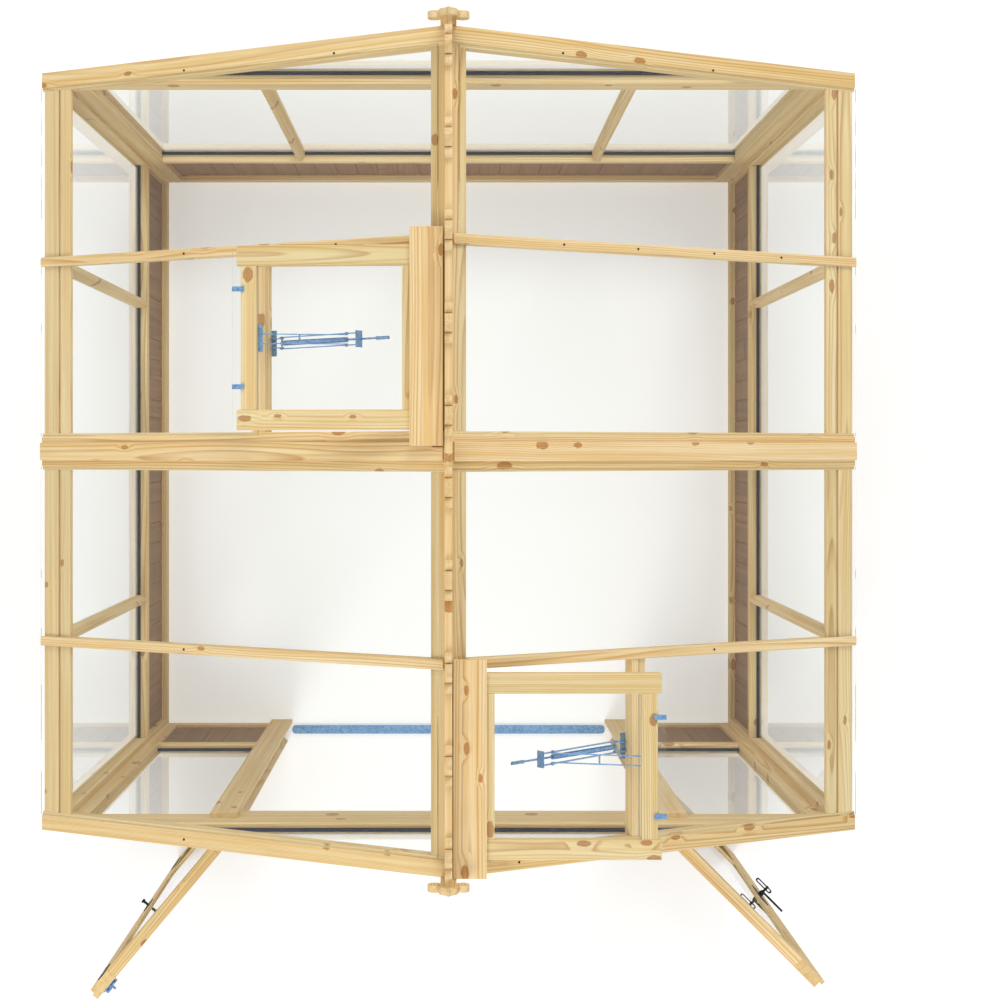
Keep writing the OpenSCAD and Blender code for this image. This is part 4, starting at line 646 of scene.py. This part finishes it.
def vent_screws():
    """Screws of the openers' plates: the right sash's and the trimmers' from below."""
    sash_low, trimmer_low, strip_t, head = -0.009, -0.0482, 0.003, 0.0075
    places = (("left_vent", -1, 1, 0.3345, 0.564, sash_low, 1),
              ("right_vent", 1, -1, 0.912, 0.592, sash_low - strip_t, -1))
    for vent, side, end, middle, reach, level, way in places:
        spots = [pair(on_sash, vent, reach, middle + dy, level, (0, 0, way)) for dy in (-0.034, 0.034)]
        fixing_heads(vent + "_screws", vent, "zinc", spots, head)
        out = on_slope(side, end, 0.0, 0.0, -1.0) - on_slope(side, end, 0.0, 0.0, 0.0)
        spots = [(on_slope(side, end, 0.64, middle + dy, trimmer_low), out) for dy in (-0.03, 0.03)]
        fixing_heads(vent + "_bracket_screws", "root", "zinc", spots, head)


def board_nails():
    """Two pins at each end of every base board, on the outer face."""
    boards = bmesh.new()
    boards.from_mesh(nodes["base_boards"].data)
    bmesh.ops.remove_doubles(boards, verts=boards.verts, dist=1e-5)
    boards.verts.index_update()
    spots = []
    nail_edge = 0.022
    for part in islands(boards):
        low = Vector([min(v.co[k] for v in part) for k in range(3)])
        high = Vector([max(v.co[k] for v in part) for k in range(3)])
        wide = 0 if high.x - low.x > high.y - low.y else 1
        thin = 1 - wide
        length = high[wide] - low[wide]
        count = max(1, round(length / BOARD_PITCH))
        middle = (0.0, house_y)[thin]
        outside = high[thin] if (low[thin] + high[thin]) / 2 > middle else low[thin]
        way = 1 if outside > middle else -1
        for k in range(count):
            for share in (0.3, 0.7):
                for z in (low.z + nail_edge, high.z - nail_edge):
                    point = Vector((0, 0, z))
                    point[wide] = low[wide] + length * (k + share) / count
                    point[thin] = outside
                    out = Vector((0, 0, 0))
                    out[thin] = way
                    spots.append((point, out))
    boards.free()
    fixing_heads("board_nails", "root", "zinc", spots, 0.0045, 0.25, 0.0, 8, 4)


fixing_tree = make_fixing_heads()
door_screws()
vent_screws()
board_nails()


# Room, floor, lights and camera
def lamp(label, place, aim, size, power):
    light = bpy.data.lights.new(label, "AREA")
    light.shape = "DISK"
    light.size = size
    light.energy = power
    holder = bpy.data.objects.new(label, light)
    # the panes mirror the pale room, not the lamps
    holder.visible_glossy = False
    bpy.context.scene.collection.objects.link(holder)
    holder.location = place
    holder.rotation_euler = (Vector(aim) - Vector(place)).to_track_quat("-Z", "Y").to_euler()


def studio():
    world = bpy.data.worlds.new("studio")
    bpy.context.scene.world = world
    world.use_nodes = True
    s = Shader(world.node_tree)
    world.node_tree.nodes.clear()
    out = s.add("ShaderNodeOutputWorld")
    sky = s.add("ShaderNodeBackground")
    sky.inputs[0].default_value = (1.0, 1.0, 1.0, 1.0)
    rays = s.add("ShaderNodeLightPath").outputs
    through = s.math("MAXIMUM", rays["Is Glossy Ray"], rays["Is Transmission Ray"])
    seen = s.math("MAXIMUM", rays["Is Camera Ray"], through)
    s.plug(s.span(seen, 0.0, 1.0, 0.67, 1.0), sky.inputs["Strength"])
    s.plug(sky.outputs[0], out.inputs[0])
    floor_mesh = bpy.data.meshes.new("studio_floor")
    half = 40.0
    corners = [(-half, -half, 0), (half, -half, 0), (half, half, 0), (-half, half, 0)]
    floor_mesh.from_pydata(corners, [], [(0, 1, 2, 3)])
    floor = bpy.data.objects.new("studio_floor", floor_mesh)
    bpy.context.scene.collection.objects.link(floor)
    material, s, surface, output = finish("pale_floor")
    surface.inputs["Base Color"].default_value = (0.8, 0.8, 0.8, 1.0)
    surface.inputs["Roughness"].default_value = 0.9
    surface.inputs["Emission Color"].default_value = (1.0, 1.0, 1.0, 1.0)
    rays = s.add("ShaderNodeLightPath").outputs
    through = s.math("MAXIMUM", rays["Is Glossy Ray"], rays["Is Transmission Ray"])
    seen = s.math("MAXIMUM", rays["Is Camera Ray"], through)
    # far from the lamps the floor runs into the white of the room
    far = s.vector("LENGTH", s.add("ShaderNodeTexCoord").outputs["Object"])
    glow = s.span(far, 4.0, 14.0, 0.32, 0.47)
    s.plug(s.math("MULTIPLY", seen, glow), surface.inputs["Emission Strength"])
    floor_mesh.materials.append(material)
    aim = (0, house_y, 1.2)
    lamp("rear_lamp", (1.2, house_y + 6.0, 7.2), aim, 3.2, 226.0)
    lamp("front_lamp", (-1.8, house_y - 5.6, 7.4), aim, 3.2, 197.0)


def photo_camera():
    camera = bpy.data.cameras.new("photo_camera")
    camera.lens = 60.0
    camera.sensor_width = 36.0
    camera.shift_x = 0.0515
    camera.shift_y = -0.0485
    camera.clip_end = 60.0
    holder = bpy.data.objects.new("photo_camera", camera)
    bpy.context.scene.collection.objects.link(holder)
    holder.location = (0.0, house_y, 7.4)
    bpy.context.scene.camera = holder


studio()
photo_camera()
bpy.context.scene.view_settings.view_transform = "Standard"
